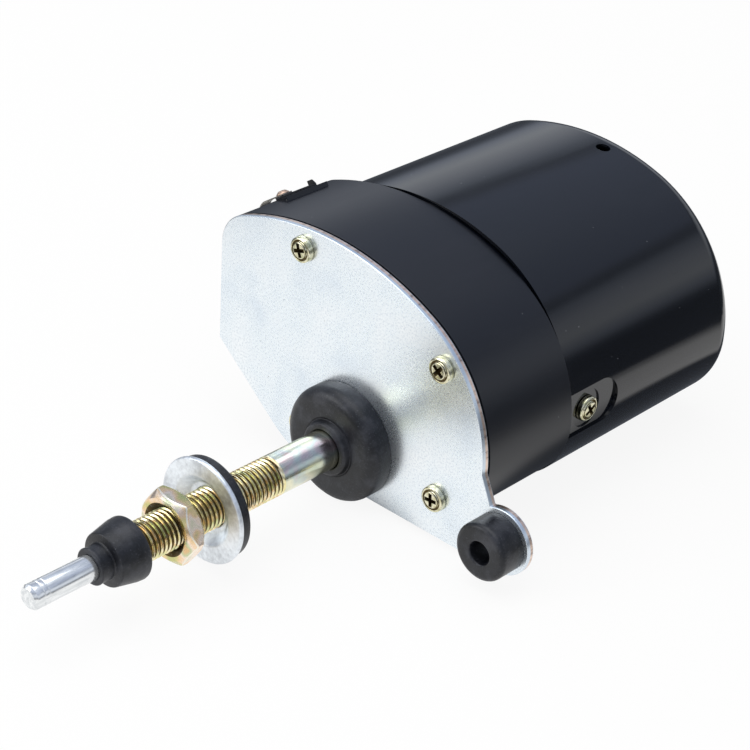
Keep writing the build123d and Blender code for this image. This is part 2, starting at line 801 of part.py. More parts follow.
def crank_gear():
    face = wheel_face(mod_third, crank_teeth, bearing(crank_at, second_at))
    face -= Circle(crank_stud_r + pivot_play)
    gear = slab(Pos(*crank_at) * face, crank_y0, crank_y0 + crank_t)
    pitch = mod_third * crank_teeth / 2
    web = tube(pitch - 3.6, crank_stud_r + 2.4, crank_y0 + 3, crank_y0 + crank_t + 1, crank_at)
    pin_boss = disc(link_pin_r + 1.6, crank_y0, crank_y0 + crank_t, crank_pin_at)
    gear = gear - web + pin_boss
    hub = tube(crank_stud_r + 1.8, crank_stud_r + pivot_play, crank_y0 + crank_t - 2,
               boss_face - hub_gap, crank_at)
    gear = gear + hub
    return gear - disc(link_pin_r, crank_y0 - 1, crank_y0 + crank_t + 1, crank_pin_at)


def crank_pin():
    """Pin riveted flush in the crank gear, with a flared head that keeps the rod on."""
    return turned([
        (0, rod_y0), (link_pin_r + 0.8, rod_y0), (link_pin_r, rod_y0 + 0.8),
        (link_pin_r, crank_y0 + crank_t), (0, crank_y0 + crank_t)], crank_pin_at)


def connecting_rod():
    lean = bearing(crank_pin_at, rocker_pin_at)
    middle = ((crank_pin_at[0] + rocker_pin_at[0]) / 2, (crank_pin_at[1] + rocker_pin_at[1]) / 2)
    bar = Pos(*middle) * Rot(0, 0, lean) * Rectangle(rod_length, link_w)
    face = bar + Pos(*crank_pin_at) * Circle(link_eye_r) + Pos(*rocker_pin_at) * Circle(link_eye_r)
    rod = slab(face, rod_y0, rod_y0 + rod_t)
    flare = turned([
        (0, rod_y0 - 1), (link_pin_r + 0.8 + pivot_play, rod_y0 - 1),
        (link_pin_r + 0.8 + pivot_play, rod_y0), (link_pin_r + pivot_play, rod_y0 + 0.8),
        (link_pin_r + pivot_play, rod_y0 + rod_t + 1), (0, rod_y0 + rod_t + 1)], crank_pin_at)
    spacer = tube(link_eye_r - 1.0, link_pin_r + pivot_play, rod_y0 + rod_t, crank_y0 - hub_gap,
                  crank_pin_at)
    rod = rod + spacer - flare
    return rod - disc(link_pin_r + pivot_play, rod_y0 - 1, rod_y0 + rod_t + 1, rocker_pin_at)


def sector_gear():
    """Toothed sector and rocker arm in one plate, on the sector's stud."""
    half_run = rocker_swing / 2 + 1.6 * 360 / sector_teeth
    count = 2 * math.ceil(half_run * sector_teeth / 360)
    middle = bearing(sector_at, output_at)
    face = gear_face(mod_third, sector_teeth, -output_shift, 1.0, middle, count)
    arm_end = polar(rocker_r, rocker_lean)
    arm = Pos(arm_end[0] / 2, arm_end[1] / 2) * Rot(0, 0, rocker_lean) * Rectangle(rocker_r, 7)
    face = face + Circle(sector_stud_r + 3) + arm + Pos(*arm_end) * Circle(3.6)
    face -= Circle(sector_stud_r + pivot_play)
    face -= Pos(*arm_end) * Circle(link_pin_r)
    return slab(Pos(*sector_at) * face, sector_y0, sector_y0 + sector_t)


def rocker_pin():
    return disc(link_pin_r, sector_y0, rod_y0 - pivot_gap, rocker_pin_at)


def output_pinion():
    towards = bearing(output_at, sector_at)
    face = gear_face(mod_third, output_teeth, output_shift, 0.9, towards)
    return slab(face - Circle(journal_r), sector_y0, sector_y0 + sector_t)


def output_shaft():
    """Shaft with a chamfered tip, fine rings near it and a groove for the snap ring."""
    tip = -shaft_tip
    clip = -neck_len - 0.1
    end = sector_y0 + sector_t + 0.4
    return turned([
        (0, end), (journal_r, end), (journal_r, clip), (journal_r - clip_bite, clip),
        (journal_r - clip_bite, clip - clip_t), (journal_r, clip - clip_t),
        (journal_r, -boot_collar_end - 0.2), (shaft_r, -boot_collar_end - 0.2),
        (shaft_r, tip + 2.2),
        (shaft_r - 0.2, tip + 2.0), (shaft_r - 0.2, tip + 1.7), (shaft_r, tip + 1.5),
        (shaft_r, tip + shaft_tip_chamfer), (shaft_r - shaft_tip_chamfer, tip), (0, tip)])


def output_clip():
    ring = Circle(neck_r - 0.5) - Circle(journal_r - clip_bite)
    ring -= Pos(shaft_r, 0) * Rectangle(2 * shaft_r, 2)
    clip = -neck_len - 0.1
    return slab(ring, clip - clip_t, clip)


def thrust_washer():
    y0 = plate_t + neck_flange_t
    return tube(output_teeth * mod_third / 2 - 1, journal_r + running, y0, sector_y0 - 0.1)


# ---------------------------------------------------------------- motor in the can
bush_y0 = housing_y1 - bush_len - 0.5
to_keel = armature_z - can_bottom
to_crown = can_crown_r - math.dist(armature_at, can_crown_at)
to_side = can_right - armature_x
yoke_r = min(to_keel, to_crown, to_side) - can_wall - 0.05
core_len = can_length - motor_ends
yoke_len = core_len + 2 * yoke_overhang
magnet_len = core_len + 2 * magnet_overhang
magnet_r = yoke_r - yoke_t
core_r = magnet_r - magnet_t - air_gap
slot_depth = slot_share * core_r
end_turn_r = core_r - end_turn_step
holder_end = yoke_r - holder_inset
riser_y1 = comm_y0 + comm_len + riser_t
core_y0 = riser_y1 + winding_gap + end_turn_t
core_y1 = core_y0 + core_len
core_mid = (core_y0 + core_y1) / 2
carrier_y1 = can_y1 - can_wall


def yoke_ring():
    return tube(yoke_r, magnet_r, core_mid - yoke_len / 2, core_mid + yoke_len / 2, armature_at)


def magnets():
    solids = []
    for middle in (0, 180):
        ring = Circle(magnet_r) - Circle(magnet_r - magnet_t)
        half = magnet_span / 2
        wedge = make_face(Polyline(
            (0, 0), polar(2 * magnet_r, middle - half), polar(3 * magnet_r, middle),
            polar(2 * magnet_r, middle + half), close=True))
        arc = Pos(*armature_at) * (ring & wedge)
        solids.append(slab(arc, core_mid - magnet_len / 2, core_mid + magnet_len / 2))
    return Compound(children=solids)


def slot_faces(grow=0.0):
    """The slots of the core: a narrow mouth and a wider pocket."""
    faces = []
    for index in range(slots):
        wide = slot_w + 2 * grow
        pocket_face = Rectangle(slot_depth + 2 * grow, wide)
        pocket_face = Pos(core_r - 1.4 - slot_depth / 2, 0) * pocket_face
        mouth = Pos(core_r - 0.5, 0) * Rectangle(3, slot_mouth)
        faces.append((Rot(0, 0, 360 / slots * index) * pocket_face,
                      Rot(0, 0, 360 / slots * index) * mouth))
    return faces


def armature_core():
    face = Circle(core_r) - Circle(armature_shaft_r)
    for pocket_face, mouth in slot_faces():
        face -= pocket_face
        face -= mouth
    return slab(Pos(*armature_at) * face, core_y0, core_y1)


def armature_windings():
    """End turns at both ends of the core, joined by the wire in its slots."""
    rings = []
    for y0, y1 in ((core_y0 - end_turn_t, core_y0), (core_y1, core_y1 + end_turn_t)):
        inner = comm_r
        rings.append(turned([
            (inner, y0 + 1.5), (inner + 1.5, y0), (end_turn_r - 2, y0), (end_turn_r, y0 + 2),
            (end_turn_r, y1 - 2), (end_turn_r, y1), (inner, y1)], armature_at))
    bars = [slab(Pos(*armature_at) * face, core_y0 - 1, core_y1 + 1)
            for face, _ in slot_faces(-0.05)]
    return joined(rings + bars)


def commutator():
    y0 = comm_y0
    y1 = riser_y1
    drum = turned([
        (armature_shaft_r, y0), (comm_r, y0), (comm_r, y1 - riser_t), (riser_r, y1 - riser_t),
        (riser_r, y1), (armature_shaft_r, y1)], armature_at)
    for index in range(slots):
        cut = Rot(0, 0, 360 / slots * (index + 0.5)) * Pos(comm_r, 0) * Rectangle(3.6, 0.5)
        drum -= slab(Pos(*armature_at) * cut, y0 - 1, y1 + 1)
    return drum


def armature_shaft():
    step = first_y0 + first_t + 0.3
    end = carrier_y1 - carrier_t - thrust_t - 0.1
    return turned([
        (0, first_y0), (pinion_journal_r, first_y0), (pinion_journal_r, step),
        (armature_shaft_r, step), (armature_shaft_r, end - 0.6), (armature_shaft_r - 0.6, end),
        (0, end)], armature_at)


def front_motor_bush():
    return tube(bush_r, armature_shaft_r + running, bush_y0, bush_y0 + bush_len, armature_at)


def rear_motor_bush():
    end = carrier_y1 - carrier_t
    return tube(bush_r, armature_shaft_r + running, end - bush_len, end, armature_at)


def bush_carrier():
    """Pressed cup that holds the rear bush on the inside of the can's end."""
    end = carrier_y1
    cup = end - carrier_t - bush_len
    return turned([
        (0, end), (carrier_r, end), (carrier_r, end - carrier_t),
        (bush_r + 1.2, end - carrier_t), (bush_r + 1.2, cup), (bush_r, cup),
        (bush_r, end - carrier_t), (0, end - carrier_t)], armature_at)


def thrust_plate():
    end = carrier_y1 - carrier_t
    return disc(armature_shaft_r, end - thrust_t, end, armature_at)


def brush_plate():
    ring = Circle(yoke_r - spigot_t - 0.3) - Circle(comm_r + 2.4)
    return slab(Pos(*armature_at) * ring, housing_y1, housing_y1 + brush_plate_t)


brush_mid = comm_y0 + comm_len / 2
brush_start = comm_r + 0.1
brush_l = holder_end - holder_wall - brush_start - spring_room


def brush_holders():
    solids = []
    seat = housing_y1 + brush_plate_t
    for sign in (1, -1):
        length = holder_end - comm_r - 2.6
        top = brush_mid + brush_h / 2 + holder_wall
        block = Box(length, top - seat, brush_w + 2 * holder_wall)
        middle = armature_x + sign * (holder_end - length / 2)
        block = Pos(middle, (top + seat) / 2, armature_z) * block
        way = Box(2 * length, brush_h + 0.04, brush_w + 0.04)
        stop = armature_x + sign * (holder_end - holder_wall - length)
        block -= Pos(stop, brush_mid, armature_z) * way
        solids.append(block)
    return Compound(children=solids)


def brushes():
    solids = []
    for sign in (1, -1):
        middle = armature_x + sign * (brush_start + brush_l / 2)
        solids.append(Pos(middle, brush_mid, armature_z) * Box(brush_l, brush_h, brush_w))
    return Compound(children=solids)


def brush_springs():
    """Folded leaf springs between each brush and the end of its holder."""
    solids = []
    start = brush_start + brush_l
    end = holder_end - holder_wall
    folds = 4
    wire = 0.35
    rise = brush_w * 0.26
    for sign in (1, -1):
        points = []
        for index in range(folds + 1):
            x = start + wire + (end - start - 2 * wire) * index / folds
            points.append((armature_x + sign * x, armature_z + rise * (-1)**index))
        strip = [Line(a, b) for a, b in zip(points, points[1:])]
        face = trace(strip, 2 * wire * 0.9)
        solids.append(slab(face, brush_mid - 2, brush_mid + 2))
    return Compound(children=solids)


def main():
    os.makedirs("parts", exist_ok=True)
    save("front_plate", front_plate())
    save("plate_gasket", gasket())
    save("gear_housing", gear_housing())
    save("motor_can", motor_can())
    save("neck_tube", neck_tube())
    save("neck_bushes", neck_bushes())
    save("neck_seal", neck_seal())
    save("rubber_washer", rubber_washer())
    save("cup_washer", cup_washer())
    save("hex_nut", hex_nut())
    save("shaft_boot", shaft_boot())
    save("ear_grommet", ear_grommet())
    save("plate_screws", plate_screws())
    save("can_screws", can_screws())
    save("terminal_strip", terminal_strip())
    save("terminal_blade", terminal_blade())
    save("terminal_rivet", terminal_rivet())
    save("crank_stud", stud(crank_stud_r, crank_at, crank_clip_y))
    save("second_idler_stud", stud(second_stud_r, second_at, second_clip_y))
    save("first_idler_stud", stud(first_stud_r, first_at, first_clip_y))
    save("sector_stud", sector_stud())
    save("stud_clips", stud_clips())
    save("motor_pinion", motor_pinion())
    save("first_idler_gear", first_idler_gear())
    save("first_idler_pinion", first_idler_pinion())
    save("second_idler_gear", second_idler_gear())
    save("second_idler_pinion", second_idler_pinion())
    save("crank_gear", crank_gear())
    save("crank_pin", crank_pin())
    save("connecting_rod", connecting_rod())
    save("sector_gear", sector_gear())
    save("rocker_pin", rocker_pin())
    save("output_pinion", output_pinion())
    save("output_shaft", output_shaft())
    save("output_clip", output_clip())
    save("thrust_washer", thrust_washer())
    save("yoke_ring", yoke_ring())
    save("field_magnets", magnets())
    save("armature_core", armature_core())
    save("armature_windings", armature_windings())
    save("commutator", commutator())
    save("armature_shaft", armature_shaft())
    save("front_motor_bush", front_motor_bush())
    save("rear_motor_bush", rear_motor_bush())
    save("bush_carrier", bush_carrier())
    save("thrust_plate", thrust_plate())
    save("brush_plate", brush_plate())
    save("brush_holders", brush_holders())
    save("carbon_brushes", brushes())
    save("brush_springs", brush_springs())


main()
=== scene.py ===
# %% [markdown]
# # A wiper motor, dressed for its portrait
# The imported CAD model is the frame: every solid of the motor is already in its place, in metres.
# This lesson keeps those places and gives each visible piece the edges, threads and finishes of
# the real motor. The loader comes first, and the CAD box is kept, to set the table under it.
# Shapes are written in millimetres, and `MM` turns them into the frame's metres.

# %% The frame
import json
import math
from contextlib import contextmanager

import bmesh
import bpy
from mathutils import Matrix, Vector


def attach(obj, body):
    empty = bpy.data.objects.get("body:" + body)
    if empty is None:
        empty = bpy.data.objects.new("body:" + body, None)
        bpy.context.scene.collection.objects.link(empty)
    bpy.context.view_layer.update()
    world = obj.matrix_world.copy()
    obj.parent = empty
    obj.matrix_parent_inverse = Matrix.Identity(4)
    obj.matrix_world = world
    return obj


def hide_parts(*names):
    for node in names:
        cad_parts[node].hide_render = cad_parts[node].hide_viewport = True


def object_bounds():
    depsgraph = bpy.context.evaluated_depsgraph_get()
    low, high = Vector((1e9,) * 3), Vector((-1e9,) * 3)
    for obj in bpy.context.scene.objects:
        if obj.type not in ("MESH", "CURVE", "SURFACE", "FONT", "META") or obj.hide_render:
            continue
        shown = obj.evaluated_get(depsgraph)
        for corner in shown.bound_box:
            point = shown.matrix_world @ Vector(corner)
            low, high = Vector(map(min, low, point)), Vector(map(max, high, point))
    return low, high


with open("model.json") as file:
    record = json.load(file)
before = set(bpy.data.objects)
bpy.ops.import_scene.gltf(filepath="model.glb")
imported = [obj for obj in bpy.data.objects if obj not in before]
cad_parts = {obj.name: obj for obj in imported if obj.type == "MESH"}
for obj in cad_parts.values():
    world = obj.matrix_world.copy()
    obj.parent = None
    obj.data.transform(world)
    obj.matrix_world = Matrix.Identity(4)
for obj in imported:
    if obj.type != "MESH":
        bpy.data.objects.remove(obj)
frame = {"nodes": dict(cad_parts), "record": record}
cad_box = [list(corner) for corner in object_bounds()]
MM = 0.001
BODY = "motor_body"
print("frame:", len(frame["nodes"]), "nodes, box", [[round(v, 4) for v in c] for c in cad_box])

# %% [markdown]
# ## The camera
# The photograph was taken from the front right and from above, with the motor slightly rolled in
# the picture. A camera can be turned by Euler angles, or built from the three directions that it
# has: right, up and back. The directions are used here, because they follow from the azimuth, the
# elevation and the roll in the same way as any survey of a photograph gives them. The eye is
# placed along those directions, in millimetres from the frame's origin.

# %% Camera
azimuth, elevation, roll = math.radians(41.37), math.radians(29.95), math.radians(3.81)
eye_right, eye_up, eye_back = 6.87, 15.09, 499.93
focal_px, photo_px, sensor_mm = 2093.45, 750, 36

back = Vector((math.sin(azimuth) * math.cos(elevation), -math.cos(azimuth) * math.cos(elevation),
               math.sin(elevation)))
level = Vector((math.cos(azimuth), math.sin(azimuth), 0))
rise = back.cross(level)
right = level * math.cos(roll) + rise * math.sin(roll)
up = rise * math.cos(roll) - level * math.sin(roll)
eye = (right * eye_right + up * eye_up + back * eye_back) * MM

lens = bpy.data.cameras.new("portrait")
lens.sensor_width = sensor_mm
lens.lens = sensor_mm * focal_px / photo_px
lens.clip_start, lens.clip_end = 0.01, 20
camera = bpy.data.objects.new("portrait", lens)
camera.matrix_world = Matrix((right, up, back)).transposed().to_4x4()
camera.location = eye
bpy.context.scene.collection.objects.link(camera)
bpy.context.scene.camera = camera
print("camera: lens", round(lens.lens, 1), "mm at", [round(v, 3) for v in eye])

# %% [markdown]
# ## Shader sums
# A finish is a handful of sums on noise. Nodes can be wired one by one, but a sum is easier to
# read as a sum, so `Tone` wraps an output socket and lets Python's operators add the Math nodes.
# `Nodes` owns a node tree and makes every other node with one method. `Finish` is the tree of one
# material, with the noises and masks that its surface is described by.

# %% Tone, Nodes and Finish
BLACK, WHITE = (0, 0, 0), (1, 1, 1)


class Tone:
    """A number, colour or vector that runs over a surface."""

    def __init__(self, nodes, socket):
        self.nodes = nodes
        self.socket = socket

    def sum(self, operation, first, second):
        return self.nodes.node("ShaderNodeMath", {0: first, 1: second}, operation=operation)

    def __add__(self, other):
        return self.sum("ADD", self, other)

    def __radd__(self, other):
        return self.sum("ADD", other, self)

    def __sub__(self, other):
        return self.sum("SUBTRACT", self, other)

    def __rsub__(self, other):
        return self.sum("SUBTRACT", other, self)

    def __mul__(self, other):
        return self.sum("MULTIPLY", self, other)

    def __rmul__(self, other):
        return self.sum("MULTIPLY", other, self)


class Nodes:
    """A node tree, and the one method that makes any node in it."""

    def __init__(self, tree):
        self.tree = tree

    def node(self, kind, inputs=None, output=0, **settings):
        """Make a node from its settings and inputs, and return one of its outputs."""
        made = self.tree.nodes.new(kind)
        for key, value in settings.items():
            setattr(made, key, value)
        for key, value in (inputs or {}).items():
            self.plug(made.inputs[key], value)
        return Tone(self, made.outputs[output])

    def plug(self, socket, value):
        """Link a tone to a socket, or set the socket to a plain number or colour."""
        if isinstance(value, Tone):
            self.tree.links.new(value.socket, socket)
        else:
            socket.default_value = (*value, 1) if socket.type == "RGBA" else value

    def ramp(self, factor, stops):
        """Colours along a factor, each stop with its place from 0 to 1."""
        toned = self.node("ShaderNodeValToRGB", {"Fac": factor})
        elements = toned.socket.node.color_ramp.elements
        while len(elements) < len(stops):
            elements.new(0.5)
        for element, (place, colour) in zip(elements, stops):
            element.position = place
            element.color = (*colour, 1)
        return toned

    def mask(self, factor, low, high, before=0.0, after=1.0):
        """A grey that goes from `before` to `after` while the factor goes from low to high."""
        return self.ramp(factor, [(low, (before,) * 3), (high, (after,) * 3)])

    def mix(self, factor, first, second):
        """The first colour where the factor is 0, the second where it is 1."""
        return self.node("ShaderNodeMix", {0: factor, 6: first, 7: second}, 2, data_type="RGBA")


class Finish(Nodes):
    """One material: a Principled shader and the nodes that feed it."""

    def __init__(self, name, **constants):
        self.material = bpy.data.materials.new(name)
        self.material.use_nodes = True
        super().__init__(self.material.node_tree)
        self.shader = self.tree.nodes["Principled BSDF"]
        self.spot = self.node("ShaderNodeTexCoord", output="Object")
        self.feed(**constants)

    def feed(self, **inputs):
        for socket, value in inputs.items():
            self.plug(self.shader.inputs[socket.replace("_", " ")], value)
        return self

    def where(self, stretch=(1, 1, 1)):
        """The surface point in the frame's metres, stretched for grain that runs one way."""
        return self.node("ShaderNodeMapping", {"Vector": self.spot, "Scale": stretch})

    def noise(self, size, detail=3.0, rough=0.5, stretch=(1, 1, 1)):
        """Noise whose blotches are about `size` millimetres across, from 0 to 1."""
        return self.node("ShaderNodeTexNoise", {
            "Vector": self.where(stretch), "Scale": 1 / (size * MM), "Detail": detail,
            "Roughness": rough})

    def specks(self, spacing, share):
        """A mask of round specks, `spacing` millimetres apart: `share` is their width in that."""
        cell = self.node("ShaderNodeTexVoronoi", {
            "Vector": self.where(), "Scale": 1 / (spacing * MM)}, "Distance", feature="F1")
        return self.mask(cell, 0.0, share, 1.0, 0.0)

    def bump(self, height, depth):
        """A normal from a height, whose full range is `depth` millimetres."""
        return self.node("ShaderNodeBump", {"Height": height, "Distance": depth * MM})


print("sums: add, subtract and multiply, from either side")

# %% [markdown]
# ## Bright zinc
# The plate is cold-rolled sheet with a thin bright zinc coat. It is a metal, but its surface is
# so finely broken that it looks almost like white paint with a blue cast, with cloudy patches,
# a fine salt-and-pepper grain and a few dark pits. Noise at three sizes gives that. The sheared
# edge has its own finish, which changes with the depth behind the plate's face.

# %% Plate finishes
plate_depth = 2.0


def zinc_plate_finish():
    finish = Finish("bright_zinc", Metallic=0.92)
    clouds = finish.noise(14, 4, 0.55)
    grain = finish.noise(0.50, 2, 0.6)
    rolling = finish.noise(5, 3, 0.6, (1, 1, 0.12))
    pits = finish.specks(5.5, 0.045)
    tint = finish.ramp(clouds, [(0.30, (0.76, 0.84, 0.91)), (0.50, (0.88, 0.94, 0.98)),
                                (0.70, (0.94, 0.98, 1.00))])
    grained = finish.mix(finish.mask(grain, 0.36, 0.52, 0.62, 0.0), tint, (0.62, 0.69, 0.76))
    spotted = finish.mix(pits, grained, (0.12, 0.13, 0.15))
    rough = 0.21 + clouds * 0.08 + grain * 0.05
    relief = grain * 0.6 + rolling * 0.4
    return finish.feed(Base_Color=spotted, Roughness=rough, Normal=finish.bump(relief, 0.010))


def cut_edge_finish():
    """The sheared edge: zinc at the face, then bare and warm where the sheet tore."""
    finish = Finish("plate_edge", Metallic=0.9)
    streaks = finish.noise(1.2, 3, 0.6, (1, 0.2, 1))
    torn = finish.ramp(streaks, [(0.32, (0.34, 0.27, 0.24)), (0.50, (0.74, 0.57, 0.47)),
                                 (0.70, (0.88, 0.72, 0.62))])
    behind_face = finish.node("ShaderNodeSeparateXYZ", {"Vector": finish.where()}, "Y")
    share = finish.ramp(behind_face * (1 / (plate_depth * MM)), [
        (0.44, BLACK), (0.52, WHITE), (0.84, WHITE), (0.90, (0.1, 0.1, 0.1))])
    tone = finish.mix(share, (0.66, 0.74, 0.82), torn)
    return finish.feed(Base_Color=tone, Roughness=0.22 + streaks * 0.14)


zinc_plate = zinc_plate_finish()
plate_edge = cut_edge_finish()
print("finishes:", zinc_plate.material.name, plate_edge.material.name)

# %% [markdown]
# ## Black paint, two ways
# The drawn can is dipped in gloss enamel and shows the studio in it. The housing has the same
# black with a satin face. Both carry a slight orange peel and a few grains of dust. The can's
# thin clear coat gives gloss over a darker base, and the satin paint has a broad, plain sheen.
# The gasket's matt black comes from the same recipe, without the dust.

# %% Paints
def paint(name, base, rough, coat, peel, depth, dust):
    """Black paint with an orange peel of waves `peel` wide and `depth` deep."""
    finish = Finish(name, Coat_Weight=coat, Coat_Roughness=0.04, Specular_IOR_Level=0.46)
    waves = finish.noise(peel, 2, 0.5)
    fine = finish.noise(0.4, 2, 0.5)
    scuffs = finish.noise(9, 5, 0.62, (1, 0.25, 1))
    grains = finish.specks(4.5, 0.032)
    deep = finish.mix(finish.mask(scuffs, 0.5, 0.8, 0.0, 0.55), base,
                      tuple(1.5 * v + 0.004 for v in base))
    dusted = finish.mix(grains * dust, deep, (0.42, 0.44, 0.47))
    relief = waves * 0.8 + fine * 0.2
    return finish.feed(Base_Color=dusted, Roughness=rough + scuffs * 0.10,
                       Normal=finish.bump(relief, depth))


can_paint = paint("gloss_black", (0.0016, 0.0024, 0.0046), rough=0.06, coat=0.10,
                  peel=3.0, depth=0.0016, dust=0.9)
housing_paint = paint("satin_black", (0.0026, 0.0038, 0.0080), rough=0.27, coat=0.0,
                      peel=1.6, depth=0.005, dust=0.9)
gasket_face = paint("gasket_black", (0.010, 0.010, 0.011), rough=0.7, coat=0.0,
                    peel=0.8, depth=0.02, dust=0.0)
print("paints:", can_paint.material.name, housing_paint.material.name, gasket_face.material.name)

# %% [markdown]
# ## Iridescent zinc
# The neck, the nut and the screws are zinc plated and then passivated: the thin film on them
# splits light into straw, green, pink and blue. The film's thickness drifts over the surface, so
# a rainbow ramp on a slow noise is enough. `drift` sets how far through the colours it runs.
# The same recipe gives painted shade in the hollows of threads and recesses, and edges painted
# bright, partly as rubbing and partly as a painted highlight.

# %% Iridescent finishes
pale = [(0.00, (0.50, 0.62, 0.52)), (0.30, (0.72, 0.74, 0.54)), (0.46, (0.82, 0.80, 0.60)),
        (0.60, (0.60, 0.66, 0.60)), (0.74, (0.68, 0.54, 0.54)), (1.00, (0.52, 0.62, 0.52))]
gold = [(0.00, (0.62, 0.66, 0.34)), (0.32, (0.90, 0.80, 0.44)), (0.48, (0.97, 0.90, 0.62)),
        (0.62, (0.84, 0.60, 0.32)), (0.78, (0.62, 0.66, 0.34)), (1.00, (0.90, 0.82, 0.50))]
amber = [(0.00, (0.38, 0.52, 0.22)), (0.30, (0.70, 0.62, 0.28)), (0.44, (0.92, 0.66, 0.40)),
         (0.58, (0.96, 0.80, 0.66)), (0.78, (0.60, 0.66, 0.40)), (1.00, (0.80, 0.54, 0.28))]
cream = [(0.00, (0.34, 0.34, 0.18)), (0.35, (0.66, 0.62, 0.40)), (0.60, (0.84, 0.80, 0.60)),
         (0.80, (0.50, 0.50, 0.30)), (1.00, (0.70, 0.66, 0.46))]
shade = [(0.00, (0.055, 0.045, 0.018)), (0.50, (0.120, 0.080, 0.028)), (1.00, (0.07, 0.06, 0.03))]
# bright tones for the nut's rims: rubbing, and a painted highlight as well
rubbed_and_highlit = [(0.00, (0.92, 0.84, 0.66)), (0.50, (0.98, 0.93, 0.80)), (1.00, (0.90, 0.80, 0.60))]


def iridescent(name, colours, drift, rough, relief=0.006):
    finish = Finish(name, Metallic=1.0)
    film = finish.noise(drift, 2, 0.45)
    wide = finish.ramp(film * 1.9 - 0.45, colours)
    grime = finish.noise(0.7, 4, 0.6)
    worn = finish.mix(finish.mask(grime, 0.58, 0.75, 0.0, 0.6), wide, (0.42, 0.40, 0.36))
    return finish.feed(Base_Color=worn, Roughness=rough + grime * 0.14,
                       Normal=finish.bump(grime, relief))


neck_zinc = iridescent("neck_zinc", pale, 9, 0.10, 0.002)
thread_zinc = iridescent("thread_zinc", gold, 4, 0.16)
nut_zinc = iridescent("nut_zinc", amber, 5, 0.20)
screw_zinc = iridescent("screw_zinc", cream, 2.2, 0.16)
shaded_zinc = iridescent("shaded_zinc", shade, 3, 0.40)
rubbed_and_highlit_zinc = iridescent("rubbed_and_highlit_zinc", rubbed_and_highlit, 3, 0.24)
print("materials so far:", len(bpy.data.materials))

# %% [markdown]
# ## Rubber
# Seal, washer, boot and grommet are moulded rubber: nearly black, with a blue bloom where it has
# been handled, specks of dust and a slightly rough skin. Sheen would make it velvety, so the
# bloom is a patchy change of colour and roughness instead.

# %% Rubber finish
def rubber_finish():
    finish = Finish("moulded_rubber", Specular_IOR_Level=0.42)
    bloom = finish.noise(6, 4, 0.6)
    skin = finish.noise(0.45, 3, 0.6)
    dust = finish.specks(2.6, 0.05)
    tone = finish.ramp(bloom, [(0.40, (0.0022, 0.0028, 0.0048)), (0.52, (0.0085, 0.0098, 0.0138)),
                               (0.64, (0.028, 0.030, 0.038))])
    grainy = finish.mix(finish.mask(skin, 0.58, 0.70, 0.0, 0.7), tone, (0.050, 0.054, 0.066))
    dusty = finish.mix(dust * 0.8, grainy, (0.26, 0.27, 0.30))
    return finish.feed(Base_Color=dusty, Roughness=0.28 + bloom * 0.22,
                       Normal=finish.bump(skin, 0.05))


rubber = rubber_finish()
print("finish:", rubber.material.name)

# %% [markdown]
# ## Bare and plain metals
# Turned and ground pieces show fine lines round their axis, sheet shows a slow cloud, and cast or
# sintered pieces a grain. One recipe covers them all, with its colour, its roughness and the way
# the lines run as settings, so that every inner piece is finished as well.

# %% Metal and plastic recipes
def metal(name, colour, rough, lines=(1, 1, 1), size=2.0, relief=0.004, metallic=1.0):
    finish = Finish(name, Metallic=metallic)
    marks = finish.noise(size, 3, 0.6, lines)
    cloud = finish.noise(11, 3, 0.5)
    dark = tuple(v * 0.72 for v in colour)
    light = tuple(min(1, v * 1.12) for v in colour)
    toned = finish.mix(finish.mask(marks * 0.5 + cloud * 0.5, 0.36, 0.62), dark, light)
    return finish.feed(Base_Color=toned, Roughness=rough + marks * 0.14,
                       Normal=finish.bump(marks, relief))


def plastic(name, colour, rough):
    return metal(name, colour, rough, size=0.8, relief=0.012, metallic=0.0)


washer_zinc = metal("washer_zinc", (0.82, 0.86, 0.90), 0.34, size=1.2, relief=0.008)
ground_steel = metal("ground_steel", (0.88, 0.92, 0.95), 0.12, (1, 0.12, 1), size=0.8,
                     relief=0.001, metallic=0.8)
gear_steel = metal("gear_steel", (0.46, 0.46, 0.47), 0.34, (1, 14, 1))
sheet_steel = metal("sheet_steel", (0.50, 0.51, 0.53), 0.34)
spring_steel = metal("spring_steel", (0.40, 0.41, 0.44), 0.30)
laminations = metal("laminations", (0.30, 0.30, 0.32), 0.42, (1, 40, 1), relief=0.02)
bronze = metal("sintered_bronze", (0.58, 0.40, 0.20), 0.40, size=0.3, relief=0.01)
copper = metal("copper", (0.74, 0.52, 0.38), 0.26, size=1.0)
tinned = metal("tinned_brass", (0.30, 0.28, 0.25), 0.34)
wire = metal("enamelled_wire", (0.40, 0.13, 0.05), 0.24, (3, 0.4, 3), size=1.2, relief=0.10,
             metallic=0.5)
ferrite = plastic("ferrite", (0.045, 0.045, 0.05), 0.55)
carbon = plastic("pressed_carbon", (0.030, 0.030, 0.032), 0.50)
nylon = plastic("natural_nylon", (0.78, 0.73, 0.60), 0.42)
phenolic = plastic("phenolic", (0.10, 0.045, 0.025), 0.45)
board_black = plastic("board_black", (0.012, 0.012, 0.014), 0.42)
print("materials so far:", len(bpy.data.materials))

# %% [markdown]
# ## Every CAD node gets its finish
# Some pieces stay as the CAD made them, most of them inside. Their finish is chosen by the
# material slot that the record gives each node, so nothing is left with a plain colour.

# %% Finishes for the slots
slot_finish = {
    "zinc_plate": zinc_plate, "can_paint": can_paint, "housing_paint": housing_paint,
    "yellow_zinc": nut_zinc, "washer_zinc": washer_zinc, "rubber": rubber, "gasket": gasket_face,
    "bright_steel": ground_steel, "gear_steel": gear_steel, "gear_nylon": nylon,
    "bronze": bronze, "copper": copper, "enamel_wire": wire, "lamination": laminations,
    "magnet": ferrite, "yoke": sheet_steel, "carbon": carbon, "laminate": phenolic,
    "terminal_board": board_black, "tinned_brass": tinned, "spring_steel": spring_steel,
}
for part in frame["record"]["subparts"]:
    node = frame["nodes"][part["node"]]
    node.data.materials.clear()
    node.data.materials.append(slot_finish[part["material_slot"]].material)
print("slots finished:", len(slot_finish))

